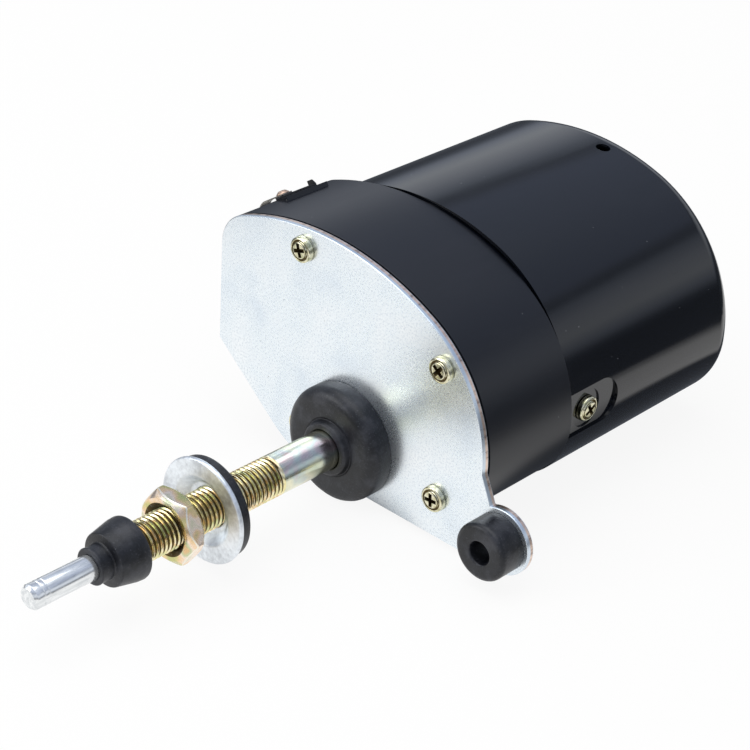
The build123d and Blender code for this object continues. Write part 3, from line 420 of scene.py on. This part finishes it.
# %% [markdown]
# ## Making pieces
# `piece` turns a mesh into an object that stands for a CAD node and rides on its body, and
# `refinish` gives some of its faces another finish. `roll_edges` rounds the hard edges with a
# Bevel, which is what catches the light on real sheet metal. `softened` makes a piece with rolled
# edges from a CAD node whose shape is already right. A mesh is changed as a bmesh, which
# `editing` opens and writes back, and `close_up` leaves it whole: no doubled points, no holes,
# faces outwards. The angles are in degrees, and `no_length` is in metres.

# %% Pieces from meshes
crease_angle, rolled_angle, flat_angle = 35, 32, 0.4
no_length = 1e-7


@contextmanager
def editing(mesh):
    """The mesh as a bmesh, written back when the block ends."""
    work = bmesh.new()
    work.from_mesh(mesh)
    yield work
    work.to_mesh(mesh)
    work.free()


def close_up(mesh, gap=1e-6):
    """Merge points closer than `gap` metres, fill the holes and face outwards."""
    with editing(mesh) as work:
        bmesh.ops.remove_doubles(work, verts=work.verts, dist=gap)
        bmesh.ops.dissolve_degenerate(work, edges=work.edges, dist=no_length)
        open_edges = [edge for edge in work.edges if edge.is_boundary]
        bmesh.ops.holes_fill(work, edges=open_edges, sides=0)
        bmesh.ops.recalc_face_normals(work, faces=work.faces)


def piece(name, mesh, finish, replaces, body=BODY, crease=crease_angle):
    """Link a mesh as a piece that stands for a CAD node and rides on its body."""
    for polygon in mesh.polygons:
        polygon.use_smooth = True
    mesh.set_sharp_from_angle(angle=math.radians(crease))
    thing = bpy.data.objects.new(name, mesh)
    bpy.context.scene.collection.objects.link(thing)
    mesh.materials.clear()
    mesh.materials.append(finish.material)
    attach(thing, body)
    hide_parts(replaces)
    return thing


def refinish(thing, finish, chosen):
    """Give another finish to the faces for which `chosen` is true."""
    materials = thing.data.materials
    materials.append(finish.material)
    for polygon in thing.data.polygons:
        if chosen(polygon):
            polygon.material_index = len(materials) - 1


def roll_edges(thing, width, steps=3):
    """Round the hard edges, and keep the flats flat-looking with weighted normals."""
    bevel = thing.modifiers.new("rolled edges", "BEVEL")
    bevel.width = width * MM
    bevel.segments = steps
    bevel.limit_method = "ANGLE"
    bevel.angle_limit = math.radians(rolled_angle)
    bevel.miter_outer = "MITER_ARC"
    flat = thing.modifiers.new("flat faces", "WEIGHTED_NORMAL")
    flat.keep_sharp = False


def softened(name, node, slot, width, gap=2e-6):
    """A CAD node's shape, with doubled points merged, flat faces joined and edges rolled."""
    mesh = frame["nodes"][node].data.copy()
    with editing(mesh) as work:
        bmesh.ops.remove_doubles(work, verts=work.verts, dist=gap)
        bmesh.ops.dissolve_limit(work, angle_limit=math.radians(flat_angle),
                                 verts=work.verts, edges=work.edges)
    made = piece(name, mesh, slot_finish[slot], node)
    roll_edges(made, width)
    return made


print("degrees from where a crease shows:", crease_angle, "and an edge is rolled:", rolled_angle)

# %% [markdown]
# ## Outlines with rounded corners
# A moulded or pressed piece never has a sharp corner. Each outline below lists its corners as
# radius, depth and rounding, in millimetres, and `rounded` turns each corner into a short arc.
# `turned` joins one closed profile for each direction about a line along Y. `spun_mesh` gives it
# the same profile all round, which suits the rubber, the washers, the screws and the shaft.

# %% Turned pieces
least_side, most_of_side = 1e-6, 0.49


def rounded(corners, steps=5):
    """Points round a closed outline of (radius, depth, rounding) corners."""
    points = []
    for index, (r, y, fillet) in enumerate(corners):
        here = Vector((r, y))
        before = Vector(corners[index - 1][:2]) - here
        after = Vector(corners[(index + 1) % len(corners)][:2]) - here
        if not fillet or min(before.length, after.length) < least_side:
            points.append(here)
            continue
        half = before.angle(after) / 2
        reach = min(fillet / math.tan(half), before.length * most_of_side,
                    after.length * most_of_side)
        radius = reach * math.tan(half)
        start = here + before.normalized() * reach
        end = here + after.normalized() * reach
        centre = here + (before.normalized() + after.normalized()).normalized() * (
            radius / math.sin(half))
        for step in range(steps + 1):
            spoke = (start - centre).lerp(end - centre, step / steps)
            points.append(centre + spoke.normalized() * radius)
    return points


def turned(name, profiles, at=(0, 0)):
    """A mesh of closed (radius, depth) profiles, evenly spaced about the line through `at`."""
    vertices, faces = [], []
    columns, rows = len(profiles), len(profiles[0])
    for column, profile in enumerate(profiles):
        turn = 2 * math.pi * column / columns
        vertices += [((at[0] + r * math.cos(turn)) * MM, y * MM,
                      (at[1] + r * math.sin(turn)) * MM) for r, y in profile]
        other = (column + 1) % columns
        for row in range(rows):
            below = (row + 1) % rows
            faces.append((column * rows + row, column * rows + below, other * rows + below,
                          other * rows + row))
    mesh = bpy.data.meshes.new(name)
    mesh.from_pydata(vertices, [], faces)
    with editing(mesh) as work:
        bmesh.ops.recalc_face_normals(work, faces=work.faces)
    return mesh


def spun_mesh(name, corners, at=(0, 0), columns=120, steps=5):
    """Turn one outline of (radius, depth, rounding) corners about a line along Y."""
    return turned(name, [rounded(corners, steps)] * columns, at)


sample = rounded([(1, 0, 0), (3, 0, 1), (3, 3, 0), (1, 3, 0)])
print("four corners, one of them rounded, give", len(sample), "points")

# %% [markdown]
# ## Plate, housing and can
# The three big shells are pressed and drawn sheet. Their shapes are right in the CAD, so each is
# a softened copy, with its edges rolled by about 0.3 mm. The plate's stamped edge is bare where
# the sheet tore, so the faces that don't look along Y get the cut edge's finish.

# %% Shells
plate = softened("plate_shell", "front_plate", "zinc_plate", 0.28)
softened("housing_shell", "gear_housing", "housing_paint", 0.30)
softened("can_shell", "motor_can", "can_paint", 0.28)
refinish(plate, plate_edge, lambda face: abs(face.normal.y) < 0.5)
print("faces of the plate's edge:", sum(face.material_index for face in plate.data.polygons))

# %% [markdown]
# ## The terminal
# A narrow strip of board lies on the shoulder, with its far end bent up as a tab. The blade is
# riveted to it and bends down the housing's left side, out of the camera's sight. All are drawn
# in the strip's own axes: along the motor, down the slope and out from the shoulder. `swept` joins
# closed sections into a solid, and `without` cuts the blade's eye with a Boolean that is applied
# at once. A turned piece stands on Y, so `y_to_z` tips it up before it is placed.

# %% Strip, blade and rivet
strip_foot = Vector((-40.18, 13.2, 43.70))
down_slope, outwards = Vector((-0.8251, 0, -0.5650)), Vector((-0.5650, 0, 0.8251))
on_shoulder = Matrix((Vector((0, 1, 0)), down_slope, outwards)).transposed().to_4x4()
on_shoulder.translation = strip_foot * MM
y_to_z = Matrix.Rotation(math.radians(90), 4, "X")
rivet_along, board_half, board_end, board_thick = 3.4, 2.1, 13.0, 0.6
tab_outline = [(12.0, 0.3), (13.0, 0.3), (12.85, 0.8), (12.2, 1.75), (12.0, 1.75)]
tab_sides = (-2.1, -0.1)
blade_path = [(-1.6, 0.6, 0), (5.7, 0.6, 0), (6.3, 0.52, 10), (6.9, 0.33, 20), (7.5, 0.03, 30),
              (11.4, -2.22, 30)]
blade_near, blade_far, blade_thick = 1.7, 5.1, 0.35
eye_spot, eye_tilt, eye_r = Vector((3.4, 9.2, -0.8)), math.radians(-30), 0.9


def swept(name, sections):
    """A solid through closed sections of the strip's points, all with as many corners."""
    mesh = bpy.data.meshes.new(name)
    with editing(mesh) as work:
        rings = [[work.verts.new(Vector(corner) * MM) for corner in section]
                 for section in sections]
        for first, second in zip(rings, rings[1:]):
            for index in range(len(first)):
                other = (index + 1) % len(first)
                work.faces.new((first[index], first[other], second[other], second[index]))
        work.faces.new(rings[0])
        work.faces.new(rings[-1])
        bmesh.ops.recalc_face_normals(work, faces=work.faces)
    mesh.transform(on_shoulder)
    return mesh


def without(mesh, cutter_mesh):
    """The first mesh with the second one cut out of it."""
    close_up(cutter_mesh, no_length)
    body = bpy.data.objects.new(mesh.name, mesh)
    cutter = bpy.data.objects.new("cutter", cutter_mesh)
    for thing in (body, cutter):
        bpy.context.scene.collection.objects.link(thing)
    cut = body.modifiers.new("cut", "BOOLEAN")
    cut.operation, cut.object, cut.solver = "DIFFERENCE", cutter, "EXACT"
    cut.use_self = True
    bpy.context.view_layer.update()
    shown = body.evaluated_get(bpy.context.evaluated_depsgraph_get())
    finished = bpy.data.meshes.new_from_object(shown)
    for thing in (body, cutter):
        bpy.data.objects.remove(thing)
    return finished


def board_section(along, half):
    return [(along, side, out) for side, out in (
        (-half, 0), (half, 0), (half, board_thick), (-half, board_thick))]


def blade_section(down, out, bend):
    """The blade's cross-section at one point of its path, where it leans by `bend` degrees."""
    lean = math.radians(bend)
    top = (down + blade_thick * math.sin(lean), out + blade_thick * math.cos(lean))
    return [(blade_near, down, out), (blade_far, down, out), (blade_far, *top),
            (blade_near, *top)]


nose = [math.radians(turn) for turn in range(12, 91, 13)]
board = [board_section(rivet_along - board_half * math.cos(turn), board_half * math.sin(turn))
         for turn in nose] + [board_section(board_end, board_half)]
tab = [[(along, down, out) for along, out in tab_outline] for down in tab_sides]
blade = [blade_section(*point) for point in blade_path]
eye_cutter = spun_mesh("eye", [(0, -3, 0), (eye_r, -3, 0), (eye_r, 3, 0), (0, 3, 0)], columns=24)
eye_cutter.transform(on_shoulder @ Matrix.Translation(eye_spot * MM)
                     @ Matrix.Rotation(eye_tilt, 4, "X") @ y_to_z)
rivet_dome = spun_mesh("strip_rivet", [
    (0.0, 1.85, 0), (0.9, 1.80, 0.9), (1.7, 1.10, 0.35), (1.7, 0.95, 0.05), (0.95, 0.95, 0),
    (0.95, 0.0, 0), (0.0, 0.0, 0)], columns=48)
rivet_dome.transform(on_shoulder @ Matrix.Translation(Vector((rivet_along, 0, 0)) * MM) @ y_to_z)
terminal = [
    piece("strip_board", swept("strip_board", board), board_black, "terminal_strip"),
    piece("strip_tab", swept("strip_tab", tab), board_black, "terminal_strip"),
    piece("strip_blade", without(swept("strip_blade", blade), eye_cutter), tinned,
          "terminal_blade"),
]
for thing in terminal:
    roll_edges(thing, 0.10, 2)
terminal.append(piece("strip_rivet", rivet_dome, copper, "terminal_rivet"))
print("terminal pieces:", len(terminal))

# %% [markdown]
# ## Rubber pieces
# The seal is a dome with a collar, the washer a flat ring, the boot a cone with a lip and the
# grommet a thick ring that grips the ear from both sides.

# %% Rubber
thread_fit = 4.96
on_axis, in_ear = (0, 0), (48.6, -4.9)
rubber_shapes = {
    "seal_dome": ("neck_seal", on_axis, [
        (thread_fit, 0, 0), (14.7, 0, 0.3), (14.7, -6.2, 3.3), (7.6, -6.2, 0.5), (7.1, -5.9, 0.4),
        (6.7, -7.9, 0.8), (5.1, -7.9, 0.5), (thread_fit, -7.0, 0)]),
    "boot_cone": ("shaft_boot", on_axis, [
        (thread_fit, -68.0, 0), (7.5, -68.0, 0.2), (7.6, -68.5, 0.2), (7.5, -69.9, 0.6),
        (6.4, -75.4, 0.45), (4.3, -75.7, 0.4), (4.3, -78.2, 0.5), (4.45, -79.2, 0.35),
        (2.83, -79.2, 0.2), (2.83, -73.1, 0), (thread_fit, -73.1, 0)]),
    "grommet_ring": ("ear_grommet", in_ear, [
        (2.9, -7.2, 0.5), (7.2, -7.2, 1.3), (7.2, 0, 0.2), (4.6, 0, 0), (4.6, plate_depth, 0),
        (6.4, plate_depth, 0.2), (6.4, 3.8, 0.6), (2.9, 3.8, 0.4)]),
    "washer_ring": ("rubber_washer", on_axis, [
        (9.0, -45.8, 0.2), (12.4, -45.8, 0.4), (12.4, -43.2, 0.5), (9.0, -43.2, 0.3)]),
}
for name, (node, at, corners) in rubber_shapes.items():
    piece(name, spun_mesh(name, corners, at), rubber, node)
print("rubber pieces:", len(rubber_shapes))

# %% [markdown]
# ## Cup washer
# A pressed steel washer: a flat flange with a rounded rim and a dish in the middle that opens
# towards the nut. A fine outline with generous rounding gives the soft highlight of a pressing.

# %% Cup washer
cup_rim = 13.0
cup = spun_mesh("cup_ring", [
    (cup_rim, -47.0, 0.55), (cup_rim, -45.8, 0.45), (8.9, -45.8, 0.8), (7.1, -43.2, 0.6),
    (4.98, -43.2, 0.2), (4.98, -44.4, 0.2), (6.2, -44.4, 0.9), (8.7, -47.0, 1.0)], steps=6)
piece("cup_ring", cup, washer_zinc, "cup_washer")
print("cup washer:", 2 * cup_rim, "mm across")

# %% [markdown]
# ## The threaded neck
# The neck is smooth near the plate and carries a real screw thread further out. The rows of the
# mesh follow the helix instead of circles, so every crest is a clean line with few points. At
# both ends the rows are clamped, and the groove fades out, as a rolled thread does. `groove` is
# one turn of the thread: how far along the pitch a point is, and its share of the depth. The
# smooth part gets the paler film and the groove's root the shaded one.

# %% Neck
pitch, crest, depth = 1.25, 4.95, 0.72
thread_start, thread_end = -25.0, -71.2
fade_start, fade_end = 1.2, 1.0
groove = [(0.0, 0.0), (0.13, 0.0), (0.30, 0.52), (0.45, 0.95), (0.56, 1.0), (0.68, 0.95),
          (0.84, 0.48)]
neck_foot = [(3.6, 2.6), (7.0, 2.6), (7.0, 2.0), (4.95, 2.0)]
neck_end = [(4.15, -72.0), (3.6, -72.0)]
bore_limit, root_share = 3.8, 0.42


def neck_profile(helix, share):
    """The neck's closed outline in one direction, `share` of a turn round."""
    profile = list(neck_foot)
    for along, cut in helix:
        y = thread_start - pitch * (along + share - 1)
        inside = max(0, min(1, (thread_start - y) / fade_start, (y - thread_end) / fade_end))
        profile.append((crest - depth * cut * inside, max(thread_end, min(thread_start, y))))
    return profile + neck_end


def neck_mesh(columns=96):
    turns = (thread_start - thread_end) / pitch + 1
    helix = [(whole + share, cut) for whole in range(math.ceil(turns)) for share, cut in groove]
    rows = len(neck_foot) + len(helix) + len(neck_end)
    first, last = len(neck_foot), len(neck_foot) + len(helix) - 1

    def one_turn_on(row):
        """The row that meets this one where the helix has gone once round."""
        return min(row + len(groove), last) if first <= row <= last else row

    vertices, faces = [], []
    for column in range(columns):
        share = column / columns
        turn = 2 * math.pi * share
        vertices += [(r * math.cos(turn) * MM, y * MM, r * math.sin(turn) * MM)
                     for r, y in neck_profile(helix, share)]
        other = (column + 1) % columns
        for row in range(rows):
            pair = (row, (row + 1) % rows)
            left, left_below = pair if other else map(one_turn_on, pair)
            corners = (column * rows + pair[0], column * rows + pair[1],
                       other * rows + left_below, other * rows + left)
            faces.append(tuple(dict.fromkeys(corners)))
    mesh = bpy.data.meshes.new("neck_thread")
    mesh.from_pydata(vertices, [], [face for face in faces if len(face) > 2])
    close_up(mesh)
    return mesh


def is_smooth(face):
    return face.center.y > (thread_start + 0.2) * MM


def is_root(face):
    reach = math.hypot(face.center.x, face.center.z) / MM
    return not is_smooth(face) and bore_limit < reach < crest - root_share * depth


neck = piece("neck_thread", neck_mesh(), thread_zinc, "neck_tube", crease=60)
refinish(neck, neck_zinc, is_smooth)
refinish(neck, shaded_zinc, is_root)
print("neck: thread turns", round((thread_start - thread_end) / pitch, 1))

# %% [markdown]
# ## The nut
# A hexagon with its corners turned off generously on both faces. Each profile looks in one
# direction: it starts in the bore, crosses the deep countersink and the face, and slopes down
# the chamfer to wherever the hexagon is at that angle. That gives the curved edge where the cone
# cuts the flats without any Boolean. The countersink lies in shade, so it gets the darker finish,
# and the rims where the chamfers meet the flats are painted bright, as rubbed edges and as a
# painted highlight.

# %% Nut
nut_flats, nut_near, nut_far, nut_turn = 16.4, -58.0, -52.9, -4.0
nut_columns, chamfer = 240, math.radians(42)
face_inset, corner_limit = 0.72, 1.14
countersink_rows, highlit_rim_rows = (0, 1), (5, 7)


def nut_profile(turn):
    """The nut's closed outline in one direction, from its bore over both faces and back."""
    apothem = nut_flats / 2
    face_r = apothem - face_inset
    side = math.radians((math.degrees(turn) - nut_turn) % 60 - 30)
    reach = min(apothem / math.cos(side), apothem * corner_limit)
    drop = (reach - face_r) * math.tan(chamfer)
    return [(thread_fit, nut_near + 1.3), (6.2, nut_near + 0.16), (6.5, nut_near + 0.02),
            (face_r - 0.15, nut_near), (face_r + 0.1, nut_near + 0.08),
            (reach - 0.20, nut_near + drop - 0.13), (reach, nut_near + drop + 0.20),
            (reach, nut_far - drop - 0.20), (reach - 0.20, nut_far - drop + 0.13),
            (face_r + 0.1, nut_far - 0.08), (face_r - 0.15, nut_far), (6.0, nut_far),
            (5.8, nut_far - 0.05), (thread_fit, nut_far - 0.9)]


nut_profiles = [nut_profile(2 * math.pi * column / nut_columns) for column in range(nut_columns)]
nut_rows = len(nut_profiles[0])
nut = piece("nut_body", turned("nut_body", nut_profiles), nut_zinc, "hex_nut",
            crease=24)
# painted shade in the countersink, and along the rims a painted highlight that also stands for
# rubbing
refinish(nut, shaded_zinc, lambda face: face.index % nut_rows in countersink_rows)
refinish(nut, rubbed_and_highlit_zinc, lambda face: face.index % nut_rows in highlit_rim_rows)
print("nut:", nut_flats, "mm across flats")

# %% [markdown]
# ## Screws
# Six pan-head screws with a cross recess. The head is turned with a domed middle inside a raised
# ring, and the recess is cut with a tapered cross, narrow at its floor. The recess, the groove
# inside the ring and the foot of the flank are painted darker: painted shade.

# %% Screws
head_r, head_thick, shank_r = 3.3, 1.9, 1.75
dome_r, groove_r = 2.2, 2.60
head_outline = [
    (0.0, head_thick, 0), (2.0, head_thick - 0.05, 0.7), (2.30, head_thick - 0.55, 0.1),
    (2.52, head_thick - 0.55, 0.1), (2.66, head_thick - 0.28, 0.12),
    (head_r - 0.12, head_thick - 0.50, 0.4), (head_r, 0.0, 0.25), (shank_r, 0.0, 0)]
cross_width, cross_reach, cross_deep = 0.50, 1.80, 1.35


def cross_cutter():
    """A tapered cross that points down, with its wide end above the head."""
    mesh = bpy.data.meshes.new("cross")
    with editing(mesh) as work:
        for turn in (0, math.pi / 2):
            corners = []
            for height, grow in ((head_thick + 0.5, 1.12), (head_thick - cross_deep, 0.62)):
                for sx, sy in ((1, 1), (-1, 1), (-1, -1), (1, -1)):
                    spot = Vector((sx * cross_reach * grow, sy * cross_width * grow, height))
                    spot.rotate(Matrix.Rotation(turn, 3, "Z"))
                    corners.append(work.verts.new(spot * MM))
            a, b, c, d, e, f, g, h = corners
            for loop in ((a, b, c, d), (h, g, f, e), (a, e, f, b), (b, f, g, c), (c, g, h, d),
                         (d, h, e, a)):
                work.faces.new(loop)
        bmesh.ops.recalc_face_normals(work, faces=work.faces)
    return mesh


def is_in_painted_shade(spot):
    """Whether a point of a head, in millimetres, gets painted shade."""
    reach = math.hypot(spot.x, spot.y)
    in_recess = reach < dome_r and 0.1 < spot.z < head_thick - 0.16
    in_groove = dome_r <= reach < groove_r and spot.z < head_thick - 0.42
    on_flank = reach > head_r - 0.05 and spot.z < head_thick * 0.55
    return in_recess or in_groove or on_flank


def add_screw(name, node, length, place):
    """A screw with its head on +Z at `place` and a shank of that length below."""
    mesh = spun_mesh(name, head_outline + [(shank_r, -length, 0), (0.0, -length, 0)], columns=48)
    mesh.transform(y_to_z)
    close_up(mesh)
    mesh = without(mesh, cross_cutter())
    # faces that get painted shade: the recess, the groove and the foot of the flank
    painted_shade_faces = {face.index for face in mesh.polygons if is_in_painted_shade(face.center / MM)}
    mesh.transform(place)
    screw = piece(name, mesh, screw_zinc, node, crease=28)
    refinish(screw, shaded_zinc, lambda face: face.index in painted_shade_faces)


def standing(spot, axis, turn):
    """A place for a head whose +Z looks along `axis`, turned about it by `turn` degrees."""
    return (Matrix.Translation(Vector(spot) * MM)
            @ Vector(axis).to_track_quat("Z", "Y").to_matrix().to_4x4()
            @ Matrix.Rotation(math.radians(turn), 4, "Z"))


to_front, to_right, to_left = (0, -1, 0), (1, 0, 0), (-1, 0, 0)
screw_places = {
    "plate_screw": (9.0, [
        ((-16.7, 0, 44.2), to_front, 18), ((28.0, 0, 31.3), to_front, 52),
        ((28.9, 0, -2.7), to_front, 5), ((-14.8, 0, -2.5), to_front, 40)]),
    "can_screw": (5.5, [
        ((39.7, 39.7, 10.9), to_right, 28), ((-42.2, 39.7, 27.0), to_left, 60)]),
}
for kind, (length, places) in screw_places.items():
    for number, place in enumerate(places, 1):
        add_screw(f"{kind}_{number}", f"{kind}s", length, standing(*place))
print("screws:", sum(len(places) for length, places in screw_places.values()))

# %% [markdown]
# ## The output shaft
# A ground bar with a chamfered tip and fine rings near it. It turns, so it rides on the output
# body and not on the motor's.

# %% Shaft
shaft_r, ring_r, shaft_tip = 3.0, 2.86, -96.0
bar = spun_mesh("shaft_bar", [
    (0.0, 7.8, 0), (2.8, 7.8, 0.2), (2.8, -72.1, 0), (2.4, -72.1, 0), (2.4, -72.55, 0),
    (2.8, -72.55, 0), (2.8, -79.4, 0), (shaft_r, -79.4, 0.02), (shaft_r, -92.0, 0.04),
    (ring_r, -92.1, 0.03), (ring_r, -92.35, 0.03), (shaft_r, -92.45, 0.04),
    (shaft_r, -93.3, 0.04), (ring_r, -93.4, 0.03), (ring_r, -93.65, 0.03),
    (shaft_r, -93.75, 0.04), (shaft_r, -95.3, 0.15), (2.35, shaft_tip, 0.12),
    (0.0, shaft_tip, 0)], columns=96, steps=3)
piece("shaft_bar", bar, ground_steel, "output_shaft", "output")
print("shaft:", 2 * shaft_r, "mm, tip at", shaft_tip, "mm")

# %% [markdown]
# ## The table
# The motor lies on a white pad in soft light. The pad is a diffuse sheet that keeps a faint
# shadow, and it glows white for the camera and for mirror-like surfaces, so zinc and paint show
# it as the camera does. Black gloss needs something darker to show as well: past the pad's edge
# the table reflects as a dim room, and a patch under the body is a painted shadow in the same
# dim colour, seen only by reflections. Pad and patch are ellipses, as the place and scale of a
# Mapping node: a point is on the rim where the mapped vector is 1 long.

# %% Table
dim_room_and_shadow = (0.10, 0.11, 0.13)
table_reach, table_gap = 6.0, 0.0003
pad_place, pad_scale = (0.14, 0.07, 0), (7.1, 3.3, 0)
# a painted shadow under the body, which only reflections see
shadow_patch_place, shadow_patch_scale = (0, -0.95, 0), (16.5, 11.0, 0)
glow_share = 0.90


def table():
    floor_z = cad_box[0][2] - table_gap
    mesh = bpy.data.meshes.new("table_sheet")
    mesh.from_pydata([(x * table_reach, y * table_reach, floor_z)
                      for x, y in ((-1, -1), (1, -1), (1, 1), (-1, 1))], [], [(0, 1, 2, 3)])
    sheet = bpy.data.objects.new("table_sheet", mesh)
    bpy.context.scene.collection.objects.link(sheet)
    finish = Finish("white_table", Base_Color=(0.94, 0.94, 0.94), Roughness=0.9,
                    Specular_IOR_Level=0.0)

    def half_out(place, scale):
        """How far out from an ellipse's middle a point is: 0.5 on the rim."""
        mapped = finish.node("ShaderNodeMapping", {
            "Vector": finish.spot, "Location": place, "Scale": scale})
        return finish.node("ShaderNodeVectorMath", {0: mapped}, "Value", operation="LENGTH") * 0.5

    edge = finish.ramp(half_out(pad_place, pad_scale), [(0.46, WHITE), (0.54, dim_room_and_shadow)])
    # painted shadow: the patch under the body shows the dim colour in reflections
    in_shadow_patch = finish.mask(half_out(shadow_patch_place, shadow_patch_scale), 0.48, 0.53, 1.0, 0.0)
    lit = finish.mix(in_shadow_patch, edge, dim_room_and_shadow)
    seen, mirrored, through = (finish.node("ShaderNodeLightPath", output=f"Is {kind} Ray")
                               for kind in ("Camera", "Glossy", "Transmission"))
    glow = finish.node("ShaderNodeEmission", {
        "Color": finish.mix(mirrored, WHITE, lit), "Strength": 1.0})
    blend = finish.node("ShaderNodeMixShader", {
        0: seen * glow_share + mirrored + through, 1: Tone(finish, finish.shader.outputs[0]),
        2: glow})
    finish.plug(finish.tree.nodes["Material Output"].inputs["Surface"], blend)
    mesh.materials.append(finish.material)


table()
print("table:", 2 * table_reach, "m across")

# %% [markdown]
# ## The world
# Surfaces get a plain white light from all round, and the camera sees pure white. Mirror-like
# surfaces see a room instead: dim at the horizon, then a soft window band in the walls, a dim
# strip above it, and a bluish ceiling that is palest overhead. Without that contrast a black
# can looks like grey plastic. The ramp runs with the height of the direction that a ray goes.

# %% World
room_tones = [
    (0.00, (0.10, 0.11, 0.13)), (0.05, (0.16, 0.18, 0.22)), (0.12, (0.50, 0.55, 0.66)),
    (0.22, (0.88, 0.93, 1.00)), (0.34, (0.76, 0.81, 0.92)), (0.43, (0.50, 0.56, 0.68)),
    (0.47, (0.22, 0.25, 0.31)), (0.50, (0.26, 0.29, 0.36)), (0.54, (0.40, 0.46, 0.62)),
    (0.68, (0.46, 0.53, 0.70)), (1.00, (0.84, 0.90, 1.00))]


def sky(diffuse, mirror):
    """White to the camera, soft light to the rest, and a room with bands to mirrors."""
    world = bpy.data.worlds.new("studio")
    world.use_nodes = True
    world.node_tree.nodes.clear()
    bpy.context.scene.world = world
    nodes = Nodes(world.node_tree)

    def background(colour, strength):
        return nodes.node("ShaderNodeBackground", {"Color": colour, "Strength": strength})

    seen, mirrored = (nodes.node("ShaderNodeLightPath", output=f"Is {kind} Ray")
                      for kind in ("Camera", "Glossy"))
    direction = nodes.node("ShaderNodeTexCoord", output="Generated")
    height = nodes.node("ShaderNodeSeparateXYZ", {0: direction}, "Z")
    room = background(nodes.ramp(height, room_tones), mirror)
    lit = nodes.node("ShaderNodeMixShader", {
        0: mirrored, 1: background(WHITE, diffuse), 2: room})
    shown = nodes.node("ShaderNodeMixShader", {0: seen, 1: lit, 2: background(WHITE, 1.0)})
    out = nodes.tree.nodes.new("ShaderNodeOutputWorld")
    nodes.plug(out.inputs["Surface"], shown)


sky(diffuse=0.52, mirror=0.95)
print("world:", bpy.context.scene.world.name)

# %% [markdown]
# ## The lamps
# Two square softboxes look at the motor, one from above and one from the front left. Colours
# are shown as they are, with no film look.

# %% Lamps
motor_middle = Vector((0, 0, 0.02))


def softbox(name, place, size, watts):
    light = bpy.data.lights.new(name, "AREA")
    light.size, light.energy = size, watts
    lamp = bpy.data.objects.new(name, light)
    lamp.location = place
    lamp.rotation_euler = (motor_middle - Vector(place)).to_track_quat("-Z", "Y").to_euler()
    bpy.context.scene.collection.objects.link(lamp)


softbox("top_box", (-0.15, -0.1, 0.95), size=1.0, watts=5.0)
softbox("front_box", (-0.75, -1.0, 0.5), size=0.8, watts=6.0)
bpy.context.scene.view_settings.view_transform = "Standard"
print("lamps:", len(bpy.data.lights))
